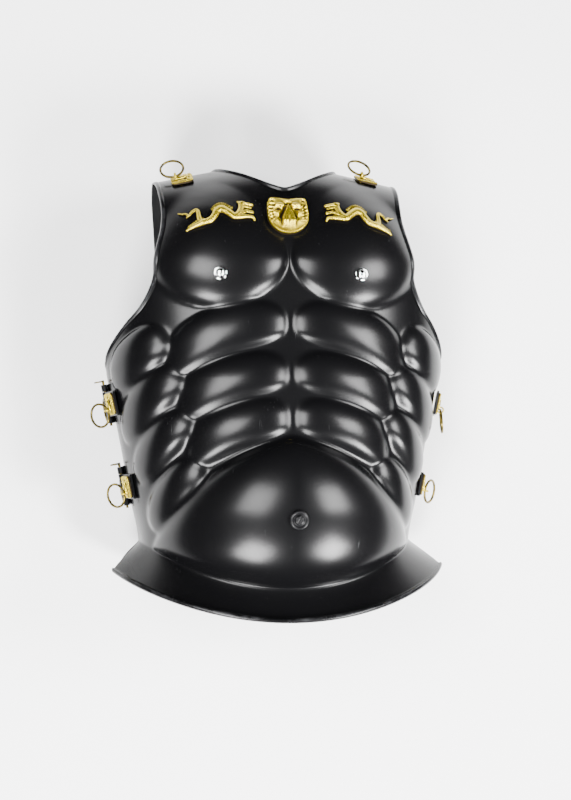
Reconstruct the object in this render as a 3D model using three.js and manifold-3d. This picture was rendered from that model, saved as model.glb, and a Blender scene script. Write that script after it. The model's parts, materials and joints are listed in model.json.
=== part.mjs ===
// Hinged muscle cuirass, lying on its back: an embossed breastplate and a plain backplate that
// meet down both sides and over the shoulders, with cast brass ornaments, ring plaques and two
// pinned hinges down the left side. Millimetres.
// While it is built, X runs across the body, Y toward the neck and Z out of the chest, and Z = 0
// is the plane where the plates meet. At the end the whole group is moved to rest on Z = 0.
import * as THREE from 'three';
import { mergeVertices } from 'three/addons/utils/BufferGeometryUtils.js';
import Module from 'manifold-3d';

const wasm = await Module();
wasm.setup();

// ---------------------------------------------------------------- driving dimensions
const SHEET = 1.4; // thickness of both plates
const SEAM_GAP = 0.5; // each plate stops this far from the plane where they meet
const REST_DEPTH = 100; // the back is flattened this far behind that plane
const ARMPIT_Y = 35; // top of the side seam
const WAIST_Y = -155; // narrowest place, where the flange starts at the sides
const BEND_Y = 110; // above this height the plates curve back to the shoulder seam
const CROWN_POWER = 2.1; // roundness of that curve, 2 is an ellipse
const CROWN_LENGTH = 192; // length of sheet in that curve
const NECK_X = 66; // half width of the neck opening at the shoulder seam
const SHOULDER_X = 137; // outer end of the shoulder seam
const BEAD_HEIGHT = 2.2; // rolled edge round neck, arms and flange
const BEAD_INSET = 2.5; // its crest lies this far inside the edge
const BEAD_FOOT = 6; // and the sheet is plain again this far inside
const ORNAMENT_GAP = 0.5; // clearance between a casting and the sheet below it

// Body sections from hip to neck: half width at the seam, depth of chest and back on the
// centre line, and squareness of the section, where 2 is an ellipse.
const SECTIONS = [
  { y: -260, halfWidth: 150, chest: 114, back: 84, square: 2.0 },
  { y: -156, halfWidth: 152, chest: 114, back: 82, square: 2.0 },
  { y: -110, halfWidth: 161, chest: 116, back: 84, square: 2.0 },
  { y: -40, halfWidth: 174, chest: 116, back: 92, square: 2.0 },
  { y: 20, halfWidth: 186, chest: 110, back: 98, square: 2.0 },
  { y: 60, halfWidth: 190, chest: 104, back: 102, square: 2.1 },
  { y: 110, halfWidth: 182, chest: 100, back: 102, square: 2.4 },
  { y: 150, halfWidth: 172, chest: 99, back: 102, square: 2.7 },
  { y: 200, halfWidth: 168, chest: 99, back: 101, square: 2.8 },
  { y: 300, halfWidth: 168, chest: 99, back: 100, square: 2.8 },
];

// The two plates. Crease and rim heights fall from the side value by the drop on the centre
// line. The flare is how far the flange stands out at its rim, and tip is the angle round the
// body at which its end corner is trimmed.
const BREAST = {
  depth: 'chest', out: 1, embossed: true, tipAngle: 76, creaseDrop: 40,
  rimSide: -178, rimDrop: 51, flareFront: 20, flareSide: 40, neckY: 227, neckRise: 0.43,
};
const BACK = {
  depth: 'back', out: -1, embossed: false, tipAngle: 68, creaseDrop: 15,
  rimSide: -180, rimDrop: 38, flareFront: 20, flareSide: 38, neckY: 238, neckRise: 0.26,
};

// Armhole edges, from the armpit up to the shoulder end, as seen from the front.
BREAST.armhole = [
  { x: 187, y: 52 }, { x: 180, y: 67 }, { x: 169, y: 83 }, { x: 156, y: 99 }, { x: 144.5, y: 122 },
  { x: 138.5, y: 152 }, { x: 133, y: 182 }, { x: 132, y: 205 }, { x: 134, y: 226 },
];
BACK.armhole = [
  { x: 183, y: 52 }, { x: 170, y: 67 }, { x: 155, y: 83 }, { x: 140, y: 99 }, { x: 129, y: 122 },
  { x: 126, y: 150 }, { x: 128, y: 178 }, { x: 131, y: 205 }, { x: 134, y: 226 },
];

// Rib pads: one a side in each row. Each bends down outward about a parabolic spine, and widens.
const RIB_PADS = [
  { middle: 69, halfLength: 65, spineY: 83, bend: 0.0022, halfWidth: 23, height: 9 },
  { middle: 62, halfLength: 58, spineY: 30, bend: 0.0022, halfWidth: 22, height: 9 },
  { middle: 58, halfLength: 54, spineY: -18, bend: 0.0028, halfWidth: 22, height: 9 },
];
const PAD_SPREAD = 0.07; // growth of a pad's half width, going outward
// Side muscles, from the armpit down: place of the middle round the body, and slope.
const SIDE_MUSCLES = [
  { s: 174, y: 44, halfLength: 48, halfWidth: 26, slope: 33 },
  { s: 163, y: -5, halfLength: 56, halfWidth: 24, slope: 40 },
  { s: 149, y: -50, halfLength: 51, halfWidth: 22, slope: 43 },
  { s: 132, y: -101, halfLength: 49, halfWidth: 22, slope: 47 },
];
const SIDE_HEIGHT = 8;
const SIDE_TIP_HEIGHT = 10.5; // they are fuller toward the upper tip
const PECTORAL = { s: 78, y: 150, across: 76, below: 53, above: 85, height: 15, square: 1.85 };
// The belly dome fills the space between a pointed arch and the waist crease.
const BELLY = { peakY: -39, fall: 0.15, bend: 0.0035, height: 33 };
const EMBOSS_BLEND = 3.5; // distance over which neighbouring forms run into each other

// ---------------------------------------------------------------- materials
const BLACK_STEEL = { color: '#17181a', roughness: 0.35, metalness: 0.6 };
const BLACK_IRON = { color: '#101112', roughness: 0.45, metalness: 0.7 };
const BRASS = { color: '#d9ad3c', roughness: 0.3, metalness: 1 };
const OLD_BRASS = { color: '#7d7444', roughness: 0.4, metalness: 1 };
const CHROME = { color: '#e8eaec', roughness: 0.08, metalness: 1 };

// ---------------------------------------------------------------- small maths
const rad = THREE.MathUtils.degToRad;
const lerp = THREE.MathUtils.lerp;
const vec = (x, y, z) => new THREE.Vector3(x, y, z);
const clamp01 = (value) => THREE.MathUtils.clamp(value, 0, 1);
const roundOff = (fraction, power) => (1 - clamp01(fraction) ** power) ** (1 / power);

/** Smooth value of one column of SECTIONS at height y. */
function section(column, y) {
  const last = SECTIONS.length - 1;
  let i = 0;
  while (i < last - 1 && y > SECTIONS[i + 1].y) i += 1;
  const slope = (a, b) => (SECTIONS[b][column] - SECTIONS[a][column]) / (SECTIONS[b].y - SECTIONS[a].y);
  const span = SECTIONS[i + 1].y - SECTIONS[i].y;
  const t = clamp01((y - SECTIONS[i].y) / span);
  const before = i > 0 ? slope(i - 1, i + 1) : 0;
  const after = i + 2 <= last ? slope(i, i + 2) : 0;
  const start = SECTIONS[i][column] * (1 + 2 * t) * (1 - t) ** 2;
  const end = SECTIONS[i + 1][column] * t ** 2 * (3 - 2 * t);
  return start + end + span * (before * t * (1 - t) ** 2 - after * t ** 2 * (1 - t));
}

// ---------------------------------------------------------------- shape of the body
/** Height of the shoulder seam above the point x. */
const shoulderY = (x) => 270 - 0.21 * Math.hypot(x, 20);

const creaseY = (plate, angle) => WAIST_Y - plate.creaseDrop * Math.cos(angle) ** 2;
const rimY = (plate, angle) => plate.rimSide - plate.rimDrop * Math.abs(Math.cos(angle)) ** 1.5;

/**
 * Point of the plain body. p is the angle round it from the centre line, in quarter turns, and
 * q the height, which above BEND_Y is measured along the sheet up to the shoulder seam.
 */
function bodyPoint(plate, p, q) {
  const angle = p * Math.PI / 2;
  const crown = clamp01((q - BEND_Y) / CROWN_LENGTH) * Math.PI / 2;
  let y = Math.min(q, BEND_Y);
  let x = section('halfWidth', y) * Math.sin(angle);
  if (crown > 0) {
    for (let pass = 0; pass < 4; pass += 1) {
      y = BEND_Y + (shoulderY(x) - BEND_Y) * Math.sin(crown);
      x = section('halfWidth', y) * Math.sin(angle);
    }
  }
  const square = section('square', y);
  const side = roundOff(Math.abs(Math.sin(angle)), square);
  let z = section(plate.depth, y) * roundOff(Math.sin(crown), CROWN_POWER) * side;
  const below = (creaseY(plate, angle) - q) / (creaseY(plate, angle) - rimY(plate, angle));
  if (below > 0) {
    const flare = lerp(plate.flareFront, plate.flareSide, Math.sin(angle) ** 2) * below ** 1.3;
    x += flare * Math.sin(angle);
    z += flare * Math.cos(angle);
  }
  return vec(x, y, plate.out * z);
}

/** Outward direction of the plain body at p, q. */
function bodyNormal(plate, p, q) {
  const step = 0.004;
  const a = bodyPoint(plate, Math.min(p + step, 1), q).sub(bodyPoint(plate, Math.max(p - step, -1), q));
  const b = bodyPoint(plate, p, q + 1).sub(bodyPoint(plate, p, q - 1));
  return a.cross(b).multiplyScalar(plate.out).normalize();
}

/** Distance round the body from the centre line to the point x at height y. */
function aroundBody(x, y) {
  const width = section('halfWidth', y);
  const depth = section('chest', y);
  const size = Math.sqrt((width ** 2 + depth ** 2) / 2);
  const oval = (width ** 2 - depth ** 2) / (width ** 2 + depth ** 2);
  const angle = Math.asin(THREE.MathUtils.clamp(x / width, -1, 1));
  return size * (angle + oval / 4 * Math.sin(2 * angle));
}

/** p and q of the body point seen from the front at x, y. */
function bodyPlace(x, y) {
  const p = Math.asin(THREE.MathUtils.clamp(x / section('halfWidth', y), -1, 1)) / (Math.PI / 2);
  if (y <= BEND_Y) return { p, q: y };
  const rise = clamp01((y - BEND_Y) / (shoulderY(x) - BEND_Y));
  return { p, q: BEND_Y + CROWN_LENGTH * Math.asin(rise) / (Math.PI / 2) };
}

// ---------------------------------------------------------------- embossing
/** Dome over the unit outline f = 1, round on top and steep at the edge. */
const dome = (f, squareness) => (f < 1 ? (1 - f ** (2 / squareness)) ** 0.6 : 0);

function ribPad(pad, s, y) {
  const square = 3;
  const along = Math.abs((s - pad.middle) / pad.halfLength);
  const halfWidth = pad.halfWidth + PAD_SPREAD * s;
  const across = Math.abs((y - pad.spineY + pad.bend * s * s) / halfWidth);
  return pad.height * dome(along ** square + across ** square, square);
}

function sideMuscle(muscle, s, y) {
  const c = Math.cos(rad(muscle.slope));
  const d = Math.sin(rad(muscle.slope));
  const along = ((s - muscle.s) * c - (y - muscle.y) * d) / muscle.halfLength;
  const across = Math.abs(((s - muscle.s) * d + (y - muscle.y) * c) / muscle.halfWidth);
  const outer = THREE.MathUtils.smoothstep(along, -0.5, 0.5);
  const square = lerp(2.7, 2.3, outer);
  const height = lerp(SIDE_TIP_HEIGHT, SIDE_HEIGHT, outer);
  return height * dome(Math.abs(along) ** square + across ** square, square);
}

function pectoral(s, y) {
  const above = y > PECTORAL.y;
  const reach = above ? PECTORAL.above : PECTORAL.below;
  const across = Math.abs((s - PECTORAL.s) / PECTORAL.across) ** PECTORAL.square;
  const f = across + Math.abs((y - PECTORAL.y) / reach) ** PECTORAL.square;
  const softness = above ? lerp(0.55, 1.5, clamp01((y - PECTORAL.y) / 60)) : 0.55;
  return f < 1 ? PECTORAL.height * (1 - f) ** softness : 0;
}

function belly(s, y, angle) {
  const top = BELLY.peakY - BELLY.fall * s - BELLY.bend * s * s;
  const bottom = creaseY(BREAST, angle);
  const half = (top - bottom) / 2;
  if (half <= 1) return 0;
  const fullHalf = (BELLY.peakY - creaseY(BREAST, 0)) / 2;
  const v = (y - bottom - half) / half;
  if (Math.abs(v) >= 1) return 0;
  const lean = Math.abs(v + 0.12 * (1 - v * v));
  return BELLY.height * (1 - lean ** 2.2) ** 0.62 * Math.min(half / fullHalf, 1);
}

/** Height of the tallest form over the point x, y of the body at an angle round it. */
function tallestForm(x, y, angle) {
  const s = Math.abs(aroundBody(x, y));
  const forms = [pectoral(s, y), belly(s, y, Math.abs(angle))];
  RIB_PADS.forEach((pad) => forms.push(ribPad(pad, s, y)));
  SIDE_MUSCLES.forEach((muscle) => forms.push(sideMuscle(muscle, s, y)));
  return Math.max(...forms);
}

/** How far the embossed sheet stands above the plain body, with its creases rounded off. */
function emboss(x, y, angle) {
  const around = EMBOSS_BLEND;
  const near = [[around, 0], [-around, 0], [0, around], [0, -around]];
  const sum = near.reduce((total, [dx, dy]) => total + tallestForm(x + dx, y + dy, angle), 0);
  return (sum + 2 * tallestForm(x, y, angle)) / (near.length + 2);
}

/** Outer surface of a plate with its outward normal; lift raises the point along it. */
function sheetPoint(plate, p, q, lift = 0) {
  const point = bodyPoint(plate, p, q);
  const normal = bodyNormal(plate, p, q);
  const relief = plate.embossed ? emboss(point.x, point.y, p * Math.PI / 2) : 0;
  point.addScaledVector(normal, relief + lift);
  point.z = plate.out * Math.max(plate.out * point.z, 0);
  return { point, normal };
}

// ---------------------------------------------------------------- the grid of a plate
/** Ends of the rows: up the flange end, the side seam, the armhole and along the shoulder. */
function rowEnds(plate) {
  const tip = plate.tipAngle / 90;
  const seamTop = bodyPlace(section('halfWidth', ARMPIT_Y), ARMPIT_Y);
  const shoulderP = bodyPlace(SHOULDER_X, shoulderY(SHOULDER_X)).p;
  const crownQ = BEND_Y + CROWN_LENGTH;
  const arm = plate.armhole.map((key) => bodyPlace(key.x, key.y));
  const armCurve = new THREE.SplineCurve(
    [{ p: 1, q: seamTop.q }, ...arm, { p: shoulderP, q: crownQ }].map((k) => new THREE.Vector2(k.p, k.q)),
  );
  return {
    hip: (t) => ({ p: lerp(tip, 1, t), q: 0 }),
    seam: (t) => ({ p: 1, q: lerp(WAIST_Y, ARMPIT_Y, t) }),
    arm: (t) => ({ p: armCurve.getPoint(t).x, q: armCurve.getPoint(t).y }),
    shoulder: (t) => ({ p: bodyPlace(lerp(SHOULDER_X, NECK_X, t), shoulderY(NECK_X)).p, q: crownQ }),
  };
}

/** Height, along the sheet, of the neck edge at fraction u of its half width. */
function neckQ(plate, u) {
  if (u >= 1) return BEND_Y + CROWN_LENGTH;
  const x = NECK_X * u;
  return bodyPlace(x, plate.neckY + plate.neckRise * Math.hypot(x, 4)).q;
}

/** Every row as its end, its height on the centre line, and how far its edge is rolled. */
function plateRows(plate, counts) {
  const ends = rowEnds(plate);
  const notch = neckQ(plate, 0);
  const centre = { crease: creaseY(plate, 0), seamTop: 20, shoulder: notch - 26 };
  const rows = [];
  const flangeSteps = [0, BEAD_INSET / 34, BEAD_FOOT / 34, ...steps(counts.flange, 0.34, 0.92)];
  flangeSteps.forEach((t) => rows.push({ zone: 'flange', end: ends.hip(t), t, roll: 0 }));
  steps(counts.seam, 0, 1).forEach((t) => rows.push({
    zone: 'body', end: ends.seam(t), centre: lerp(centre.crease, centre.seamTop, t), roll: 0, neck: 0,
  }));
  steps(counts.arm, 1 / counts.arm, 1).forEach((t) => rows.push({
    zone: 'body', end: ends.arm(t), centre: lerp(centre.seamTop, centre.shoulder, t),
    roll: clamp01(Math.min(t, 1 - t) * 12), neck: 0,
  }));
  const lastSteps = [...steps(counts.shoulder, 1 / (counts.shoulder + 1), 0.84), 1 - BEAD_FOOT / 71,
    1 - BEAD_INSET / 71, 1];
  lastSteps.forEach((t) => rows.push({
    zone: 'body', end: ends.shoulder(t), centre: lerp(centre.shoulder, notch, t), roll: 0, neck: t,
  }));
  return rows;
}

/** Evenly spaced values from first to last. */
function steps(count, first, last) {
  return Array.from({ length: count }, (_, i) => lerp(first, last, count > 1 ? i / (count - 1) : 0));
}

/** Height along the sheet of one row at fraction u of its half width. */
function rowQ(plate, row, u, p) {
  const angle = Math.abs(p) * Math.PI / 2;
  if (row.zone === 'flange') return lerp(rimY(plate, angle), creaseY(plate, angle), row.t);
  const even = Math.sin(u * Math.PI / 2) ** 2;
  const neckLine = (neckQ(plate, u) - neckQ(plate, 0)) / (neckQ(plate, 1) - neckQ(plate, 0));
  return lerp(row.centre, row.end.q, lerp(even, neckLine, row.neck ** 2));
}

/** Column places across the plate, crowded at the centre line and at the rolled edge. */
function columnPlaces(count, halfLength) {
  const inner = 1 - BEAD_FOOT / halfLength;
  const half = steps(count, 0, 1).map((t) => inner * lerp(t, t ** 1.5, 0.35));
  const right = [...half.slice(1), 1 - BEAD_INSET / halfLength, 1];
  return [...right.map((u) => -u).reverse(), 0, ...right];
}

/** Roll of the edge: lifts the crest of the bead and turns the very edge back down. */
function beadLift(edgeIndex) {
  return [0.4, 1, 0][edgeIndex] ?? 0;
}

/** Outer and inner vertices of a plate, row by row. */
function plateGrid(plate, counts) {
  const rows = plateRows(plate, counts);
  const last = rows.length - 1;
  return rows.map((row, j) => {
    const halfLength = 250 * row.end.p;
    const places = columnPlaces(counts.columns, halfLength);
    return places.map((u, i) => {
      const p = row.end.p * u;
      const q = rowQ(plate, row, Math.abs(u), p);
      const sideLift = beadLift(Math.min(i, places.length - 1 - i)) * row.roll;
      const endLift = Math.max(beadLift(j), beadLift(last - j));
      const lift = BEAD_HEIGHT * Math.max(sideLift, endLift);
      const { point, normal } = sheetPoint(plate, p, q, lift);
      const inner = point.clone().addScaledVector(normal, -SHEET);
      return { outer: settle(plate, point, 0), inner: settle(plate, inner, SHEET) };
    });
  });
}

/** Keeps a vertex off the meeting plane, and flattens the back where it rests. */
function settle(plate, point, inset) {
  const z = Math.max(point.z * plate.out, SEAM_GAP);
  const limit = plate.out < 0 ? REST_DEPTH - inset : Infinity;
  point.z = plate.out * Math.min(z, limit);
  return point;
}

/** Closed sheet from a grid of outer and inner vertices in pairs, row by row. */
function slab(points, rows, columns, flip) {
  const at = (j, i, face) => 2 * (j * columns + i) + face;
  const faces = [];
  const quad = (a, b, c, d) => {
    const first = points[a].distanceTo(points[c]) < points[b].distanceTo(points[d]);
    faces.push(...(first ? [a, b, c, a, c, d] : [a, b, d, b, c, d]));
  };
  for (let j = 0; j < rows - 1; j += 1) {
    for (let i = 0; i < columns - 1; i += 1) {
      quad(at(j, i, 0), at(j, i + 1, 0), at(j + 1, i + 1, 0), at(j + 1, i, 0));
      quad(at(j, i, 1), at(j + 1, i, 1), at(j + 1, i + 1, 1), at(j, i + 1, 1));
    }
    const end = columns - 1;
    quad(at(j, 0, 1), at(j, 0, 0), at(j + 1, 0, 0), at(j + 1, 0, 1));
    quad(at(j, end, 0), at(j, end, 1), at(j + 1, end, 1), at(j + 1, end, 0));
  }
  for (let i = 0; i < columns - 1; i += 1) {
    const end = rows - 1;
    quad(at(0, i, 1), at(0, i + 1, 1), at(0, i + 1, 0), at(0, i, 0));
    quad(at(end, i, 0), at(end, i + 1, 0), at(end, i + 1, 1), at(end, i, 1));
  }
  return indexed(points, faces, flip);
}

function sheetGeometry(plate, counts) {
  const grid = plateGrid(plate, counts);
  const points = grid.flatMap((row) => row.flatMap((cell) => [cell.outer, cell.inner]));
  return slab(points, grid.length, grid[0].length, plate.out < 0);
}

function indexed(points, faces, flip) {
  const geometry = new THREE.BufferGeometry();
  geometry.setAttribute('position', new THREE.Float32BufferAttribute(points.flatMap((v) => v.toArray()), 3));
  const order = flip ? faces.map((_, k) => faces[k % 3 === 1 ? k + 1 : k % 3 === 2 ? k - 1 : k]) : faces;
  geometry.setIndex(order);
  return geometry;
}

// ---------------------------------------------------------------- joining solids
function toManifold(geometry) {
  const bare = geometry.clone();
  bare.deleteAttribute('normal');
  bare.deleteAttribute('uv');
  const merged = mergeVertices(bare, 1e-4);
  return new wasm.Manifold(new wasm.Mesh({
    numProp: 3,
    vertProperties: new Float32Array(merged.attributes.position.array),
    triVerts: new Uint32Array(merged.index.array),
  }));
}

function fromManifold(solid) {
  const mesh = solid.getMesh();
  const geometry = new THREE.BufferGeometry();
  geometry.setAttribute('position', new THREE.BufferAttribute(new Float32Array(mesh.vertProperties), 3));
  geometry.setIndex(new THREE.BufferAttribute(new Uint32Array(mesh.triVerts), 1));
  return geometry;
}

function join(geometries) {
  return fromManifold(geometries.map(toManifold).reduce((whole, piece) => whole.add(piece)));
}

const group = new THREE.Group();

function add(name, geometry, finish) {
  const mesh = new THREE.Mesh(geometry, new THREE.MeshStandardMaterial({ ...finish }));
  mesh.name = name;
  group.add(mesh);
}

// ---------------------------------------------------------------- castings on the chest
/** Moves a flat casting, whose back lies on z = 0 round its own middle, onto the chest. */
function drape(geometry, x, y, gap) {
  const positions = geometry.attributes.position;
  for (let i = 0; i < positions.count; i += 1) {
    const place = bodyPlace(x + positions.getX(i), y + positions.getY(i));
    const { point } = sheetPoint(BREAST, place.p, place.q, positions.getZ(i) + gap);
    positions.setXYZ(i, point.x, point.y, point.z);
  }
  return geometry;
}

/**
 * Closed relief over a closed outline: a flat back on z = 0, an edge wall of the given height,
 * and a front of rings of vertices whose heights come from a function of x, y.
 */
function medallion(outline, height, rings, sectors, edge) {
  const rim = (k, i, z) => {
    const angle = i / sectors * 2 * Math.PI;
    const reach = outline(angle) * k / rings;
    const x = reach * Math.cos(angle);
    const y = reach * Math.sin(angle);
    return vec(x, y, z ?? height(x, y));
  };
  const points = [vec(0, 0, 0), vec(0, 0, height(0, 0))];
  for (let i = 0; i < sectors; i += 1) points.push(rim(rings, i, 0));
  for (let k = 1; k <= rings; k += 1) {
    for (let i = 0; i < sectors; i += 1) points.push(rim(k, i, k < rings ? undefined : edge));
  }
  const back = (i) => 2 + i % sectors;
  const front = (k, i) => 2 + k * sectors + i % sectors;
  const faces = [];
  for (let i = 0; i < sectors; i += 1) {
    faces.push(0, back(i + 1), back(i), 1, front(1, i), front(1, i + 1));
    faces.push(back(i), back(i + 1), front(rings, i + 1), back(i), front(rings, i + 1), front(rings, i));
    for (let k = 1; k < rings; k += 1) {
      faces.push(front(k, i), front(k + 1, i), front(k + 1, i + 1));
      faces.push(front(k, i), front(k + 1, i + 1), front(k, i + 1));
    }
  }
  return indexed(points, faces, false);
}

/** Height of a lion mask, of half width size, at x, y: brow, long nose, cheeks, ears, mane. */
function lionFace(x, y, size) {
  const u = Math.abs(x) / size;
  const v = y / size;
  const bump = (cx, cy, r) => Math.exp(-((u - cx) ** 2 + (v - cy) ** 2) / r ** 2);
  const noseWidth = lerp(0.3, 0.14, clamp01((v + 0.4) / 0.8));
  const nose = v < 0.45 && v > -0.6 ? 0.2 * Math.max(0, 1 - (u / noseWidth) ** 2) : 0;
  const face = 0.16 + 0.12 * (1 - clamp01(u * u + v * v)) + nose;
  return size * (face + 0.08 * bump(0.5, -0.05, 0.2) + 0.1 * bump(0.72, 0.62, 0.16)
    + 0.1 * bump(0.35, 0.42, 0.16) - 0.1 * bump(0.34, 0.1, 0.12) + 0.06 * bump(0, -0.62, 0.3));
}

const LION = { y: 194, halfWidth: 22, halfHeight: 19.3, gap: 2 };

/** Shield outline: nearly square above, half round below. */
function shieldReach(angle) {
  const square = Math.sin(angle) > 0 ? 5 : 2.2;
  const c = Math.abs(Math.cos(angle)) / LION.halfWidth;
  const s = Math.abs(Math.sin(angle)) / LION.halfHeight;
  return (c ** square + s ** square) ** (-1 / square);
}

function addLionMask() {
  const face = (x, y) => lionFace(x, y, LION.halfWidth);
  add('lion_mask', drape(medallion(shieldReach, face, 5, 20, 1.6), 0, LION.y, LION.gap), BRASS);
}

// Sea dragon, head toward +X, about its own middle: centre line of the body from neck to tail
// tip, with the half width of the casting there.
const DRAGON_BODY = [
  { x: 27, y: 12, r: 3.4 }, { x: 25, y: 4, r: 3.8 }, { x: 20, y: -2, r: 4.6 }, { x: 12, y: 4, r: 4.4 },
  { x: 5, y: 8, r: 4.2 }, { x: -1, y: 3, r: 4 }, { x: -5, y: -6, r: 3.6 }, { x: -14, y: -10, r: 3.2 },
  { x: -20, y: -5, r: 2.6 }, { x: -22, y: 4, r: 2.2 }, { x: -25, y: 8, r: 1.8 }, { x: -31, y: 2, r: 1.3 },
  { x: -40, y: 4, r: 0.7 },
];
// Its limbs and jaws, each a tapering bar between two points.
const DRAGON_LIMBS = [
  { from: [27, 15], to: [40, 13], start: 3.4, end: 1.9 }, // upper jaw
  { from: [24, 2], to: [41, 5], start: 2.6, end: 1.7 }, // upper foreleg
  { from: [20, -3], to: [41, -4], start: 3.4, end: 1.9 }, // lower foreleg
  { from: [-12, -11], to: [-30, -18], start: 3.8, end: 1.3 }, // fin
];
const DRAGON = { left: -75, right: 79, y: 190.5, size: 0.94, thickness: 4, sides: 5, gap: 1 };

/** Half-round bar along a path of { x, y, r }, lying on z = 0. */
function castBar(path, thickness) {
  const curve = new THREE.CatmullRomCurve3(path.map((k) => vec(k.x, k.y, 0)));
  const stepsAlong = path.length > 2 ? path.length * 2 : 1;
  const points = [];
  const faces = [];
  for (let j = 0; j <= stepsAlong; j += 1) {
    const t = j / stepsAlong;
    const place = t * (path.length - 1);
    const key = Math.min(Math.floor(place), path.length - 2);
    const r = lerp(path[key].r, path[key + 1].r, place - key);
    const middle = curve.getPoint(t);
    const along = curve.getTangent(t);
    for (let i = 0; i < DRAGON.sides; i += 1) {
      const turn = i / (DRAGON.sides - 1) * Math.PI;
      const out = Math.cos(turn) * r;
      points.push(vec(middle.x + along.y * out, middle.y - along.x * out,
        Math.sin(turn) * Math.min(thickness, r * 1.1)));
    }
  }
  const at = (j, i) => j * DRAGON.sides + i % DRAGON.sides;
  for (let j = 0; j < stepsAlong; j += 1) {
    for (let i = 0; i < DRAGON.sides; i += 1) {
      faces.push(at(j, i), at(j + 1, i), at(j + 1, i + 1), at(j, i), at(j + 1, i + 1), at(j, i + 1));
    }
  }
  for (let i = 1; i < DRAGON.sides - 1; i += 1) {
    faces.push(at(0, 0), at(0, i), at(0, i + 1));
    faces.push(at(stepsAlong, 0), at(stepsAlong, i + 1), at(stepsAlong, i));
  }
  return indexed(points, faces, false);
}

/** The crest on the dragon's back: a low fan plate behind the hump. */
function dragonCrest() {
  const fan = new THREE.Shape();
  fan.absarc(4, 5, 8.5, rad(15), rad(170), false);
  fan.lineTo(4, 5);
  return new THREE.ExtrudeGeometry(fan, { depth: 1.6, bevelEnabled: false, curveSegments: 8 });
}

function dragonGeometry(side) {
  const bars = DRAGON_LIMBS.map((limb) => castBar([
    { x: limb.from[0], y: limb.from[1], r: limb.start }, { x: limb.to[0], y: limb.to[1], r: limb.end },
  ], DRAGON.thickness));
  const flat = join([castBar(DRAGON_BODY, DRAGON.thickness), ...bars, dragonCrest()]);
  flat.scale(-side * DRAGON.size, DRAGON.size, 1);
  if (side > 0) {
    const order = flat.index.array;
    for (let k = 0; k < order.length; k += 3) [order[k], order[k + 1]] = [order[k + 1], order[k]];
  }
  return drape(flat, side < 0 ? DRAGON.left : DRAGON.right, DRAGON.y, DRAGON.gap);
}

const STUD = { x: 73, y: 131, radius: 7, height: 4.6 };
const NAVEL = { y: -121, radius: 10, knob: 5 };

/** Turned piece from a profile of [radius, height] pairs that starts and ends on its axis. */
function turned(profile, segments) {
  const lathe = new THREE.LatheGeometry(profile.map(([r, h]) => new THREE.Vector2(r, h)), segments);
  return lathe.rotateX(Math.PI / 2);
}

/** Square frame on a plate at p, q: its point, and the directions across, along and out. */
function frameOn(plate, p, q) {
  const { point, normal } = sheetPoint(plate, p, q);
  const step = (dp, dq) => sheetPoint(plate, p + dp, q + dq).point;
  const across = step(0.02, 0).sub(step(-0.02, 0));
  const along = step(0, 4).sub(step(0, -4)).normalize();
  const out = across.cross(along).normalize();
  if (out.dot(normal) < 0) out.negate();
  return { point, out, along, across: along.clone().cross(out) };
}

/** How far a plate rises above the plane of a frame within the given reach of its point. */
function standOff(plate, frame, place, halfWidth, halfLength) {
  let most = 0;
  for (let i = -5; i <= 5; i += 1) {
    for (let j = -5; j <= 5; j += 1) {
      const p = Math.sign(place.p) * Math.min(Math.abs(place.p) + i * 0.025, 1);
      const offset = sheetPoint(plate, p, place.q + j / 5 * halfLength).point.sub(frame.point);
      if (Math.abs(offset.dot(frame.across)) < halfWidth) most = Math.max(most, offset.dot(frame.out));
    }
  }
  return most;
}

/** Moves a piece built on z = 0 onto a frame, lifted off it. */
function stand(geometry, frame, lift) {
  const basis = new THREE.Matrix4().makeBasis(frame.across, frame.along, frame.out);
  basis.setPosition(frame.point.clone().addScaledVector(frame.out, lift));
  return geometry.applyMatrix4(basis);
}

function standOnChest(geometry, x, y) {
  const place = bodyPlace(x, y);
  return stand(geometry, frameOn(BREAST, place.p, place.q), ORNAMENT_GAP);
}

function addChestStuds() {
  const { radius, height } = STUD;
  const profile = [[0, 0], [radius, 0], [radius, 0.8], [radius * 0.78, height * 0.75], [0, height]];
  add('nipple_stud_left', standOnChest(turned(profile, 12), -STUD.x, STUD.y), CHROME);
  add('nipple_stud_right', standOnChest(turned(profile, 12), STUD.x, STUD.y), CHROME);
  const boss = [[0, 0], [NAVEL.radius, 0], [NAVEL.radius, 1.2], [NAVEL.radius - 2, 2.4],
    [NAVEL.knob + 1, 1.2], [NAVEL.knob, 3.4], [0, 4.6]];
  add('navel_boss', standOnChest(turned(boss, 14), 0, NAVEL.y), BLACK_IRON);
}

// ---------------------------------------------------------------- hinges
const HINGE = {
  offset: 5, // from the seam out to the pin
  knuckleRadius: 3.2, bore: 1.9, pinRadius: 1.4, gap: 0.6,
  length: 43, middle: 27, // along the pin: all knuckles, and the one of the front leaf
  pullRadius: 4.6, pullWire: 0.8,
};
const LEAF = { depth: 18, halfWidth: 14.5, thickness: 2, gap: 0.8 };
// Middle heights of the hinges; the pin line runs parallel to the side seam between them.
const HINGES = [{ name: 'upper', y: -3 }, { name: 'lower', y: -94 }];
const seamX = (y) => section('halfWidth', y);
const SEAM_LEAN = Math.atan2(seamX(HINGES[0].y) - seamX(HINGES[1].y), HINGES[0].y - HINGES[1].y);
const PIN_ALONG = vec(-Math.sin(SEAM_LEAN), Math.cos(SEAM_LEAN), 0);
const PIN_OUT = vec(-Math.cos(SEAM_LEAN), -Math.sin(SEAM_LEAN), 0);

/** Moves a piece built along z to the pin line of a hinge, with its +x side outward. */
function onPinLine(geometry, hinge) {
  const basis = new THREE.Matrix4().makeBasis(PIN_OUT, vec(0, 0, 1), PIN_ALONG);
  basis.setPosition(vec(-seamX(hinge.y), hinge.y, 0).addScaledVector(PIN_OUT, HINGE.offset));
  return geometry.applyMatrix4(basis);
}

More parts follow.
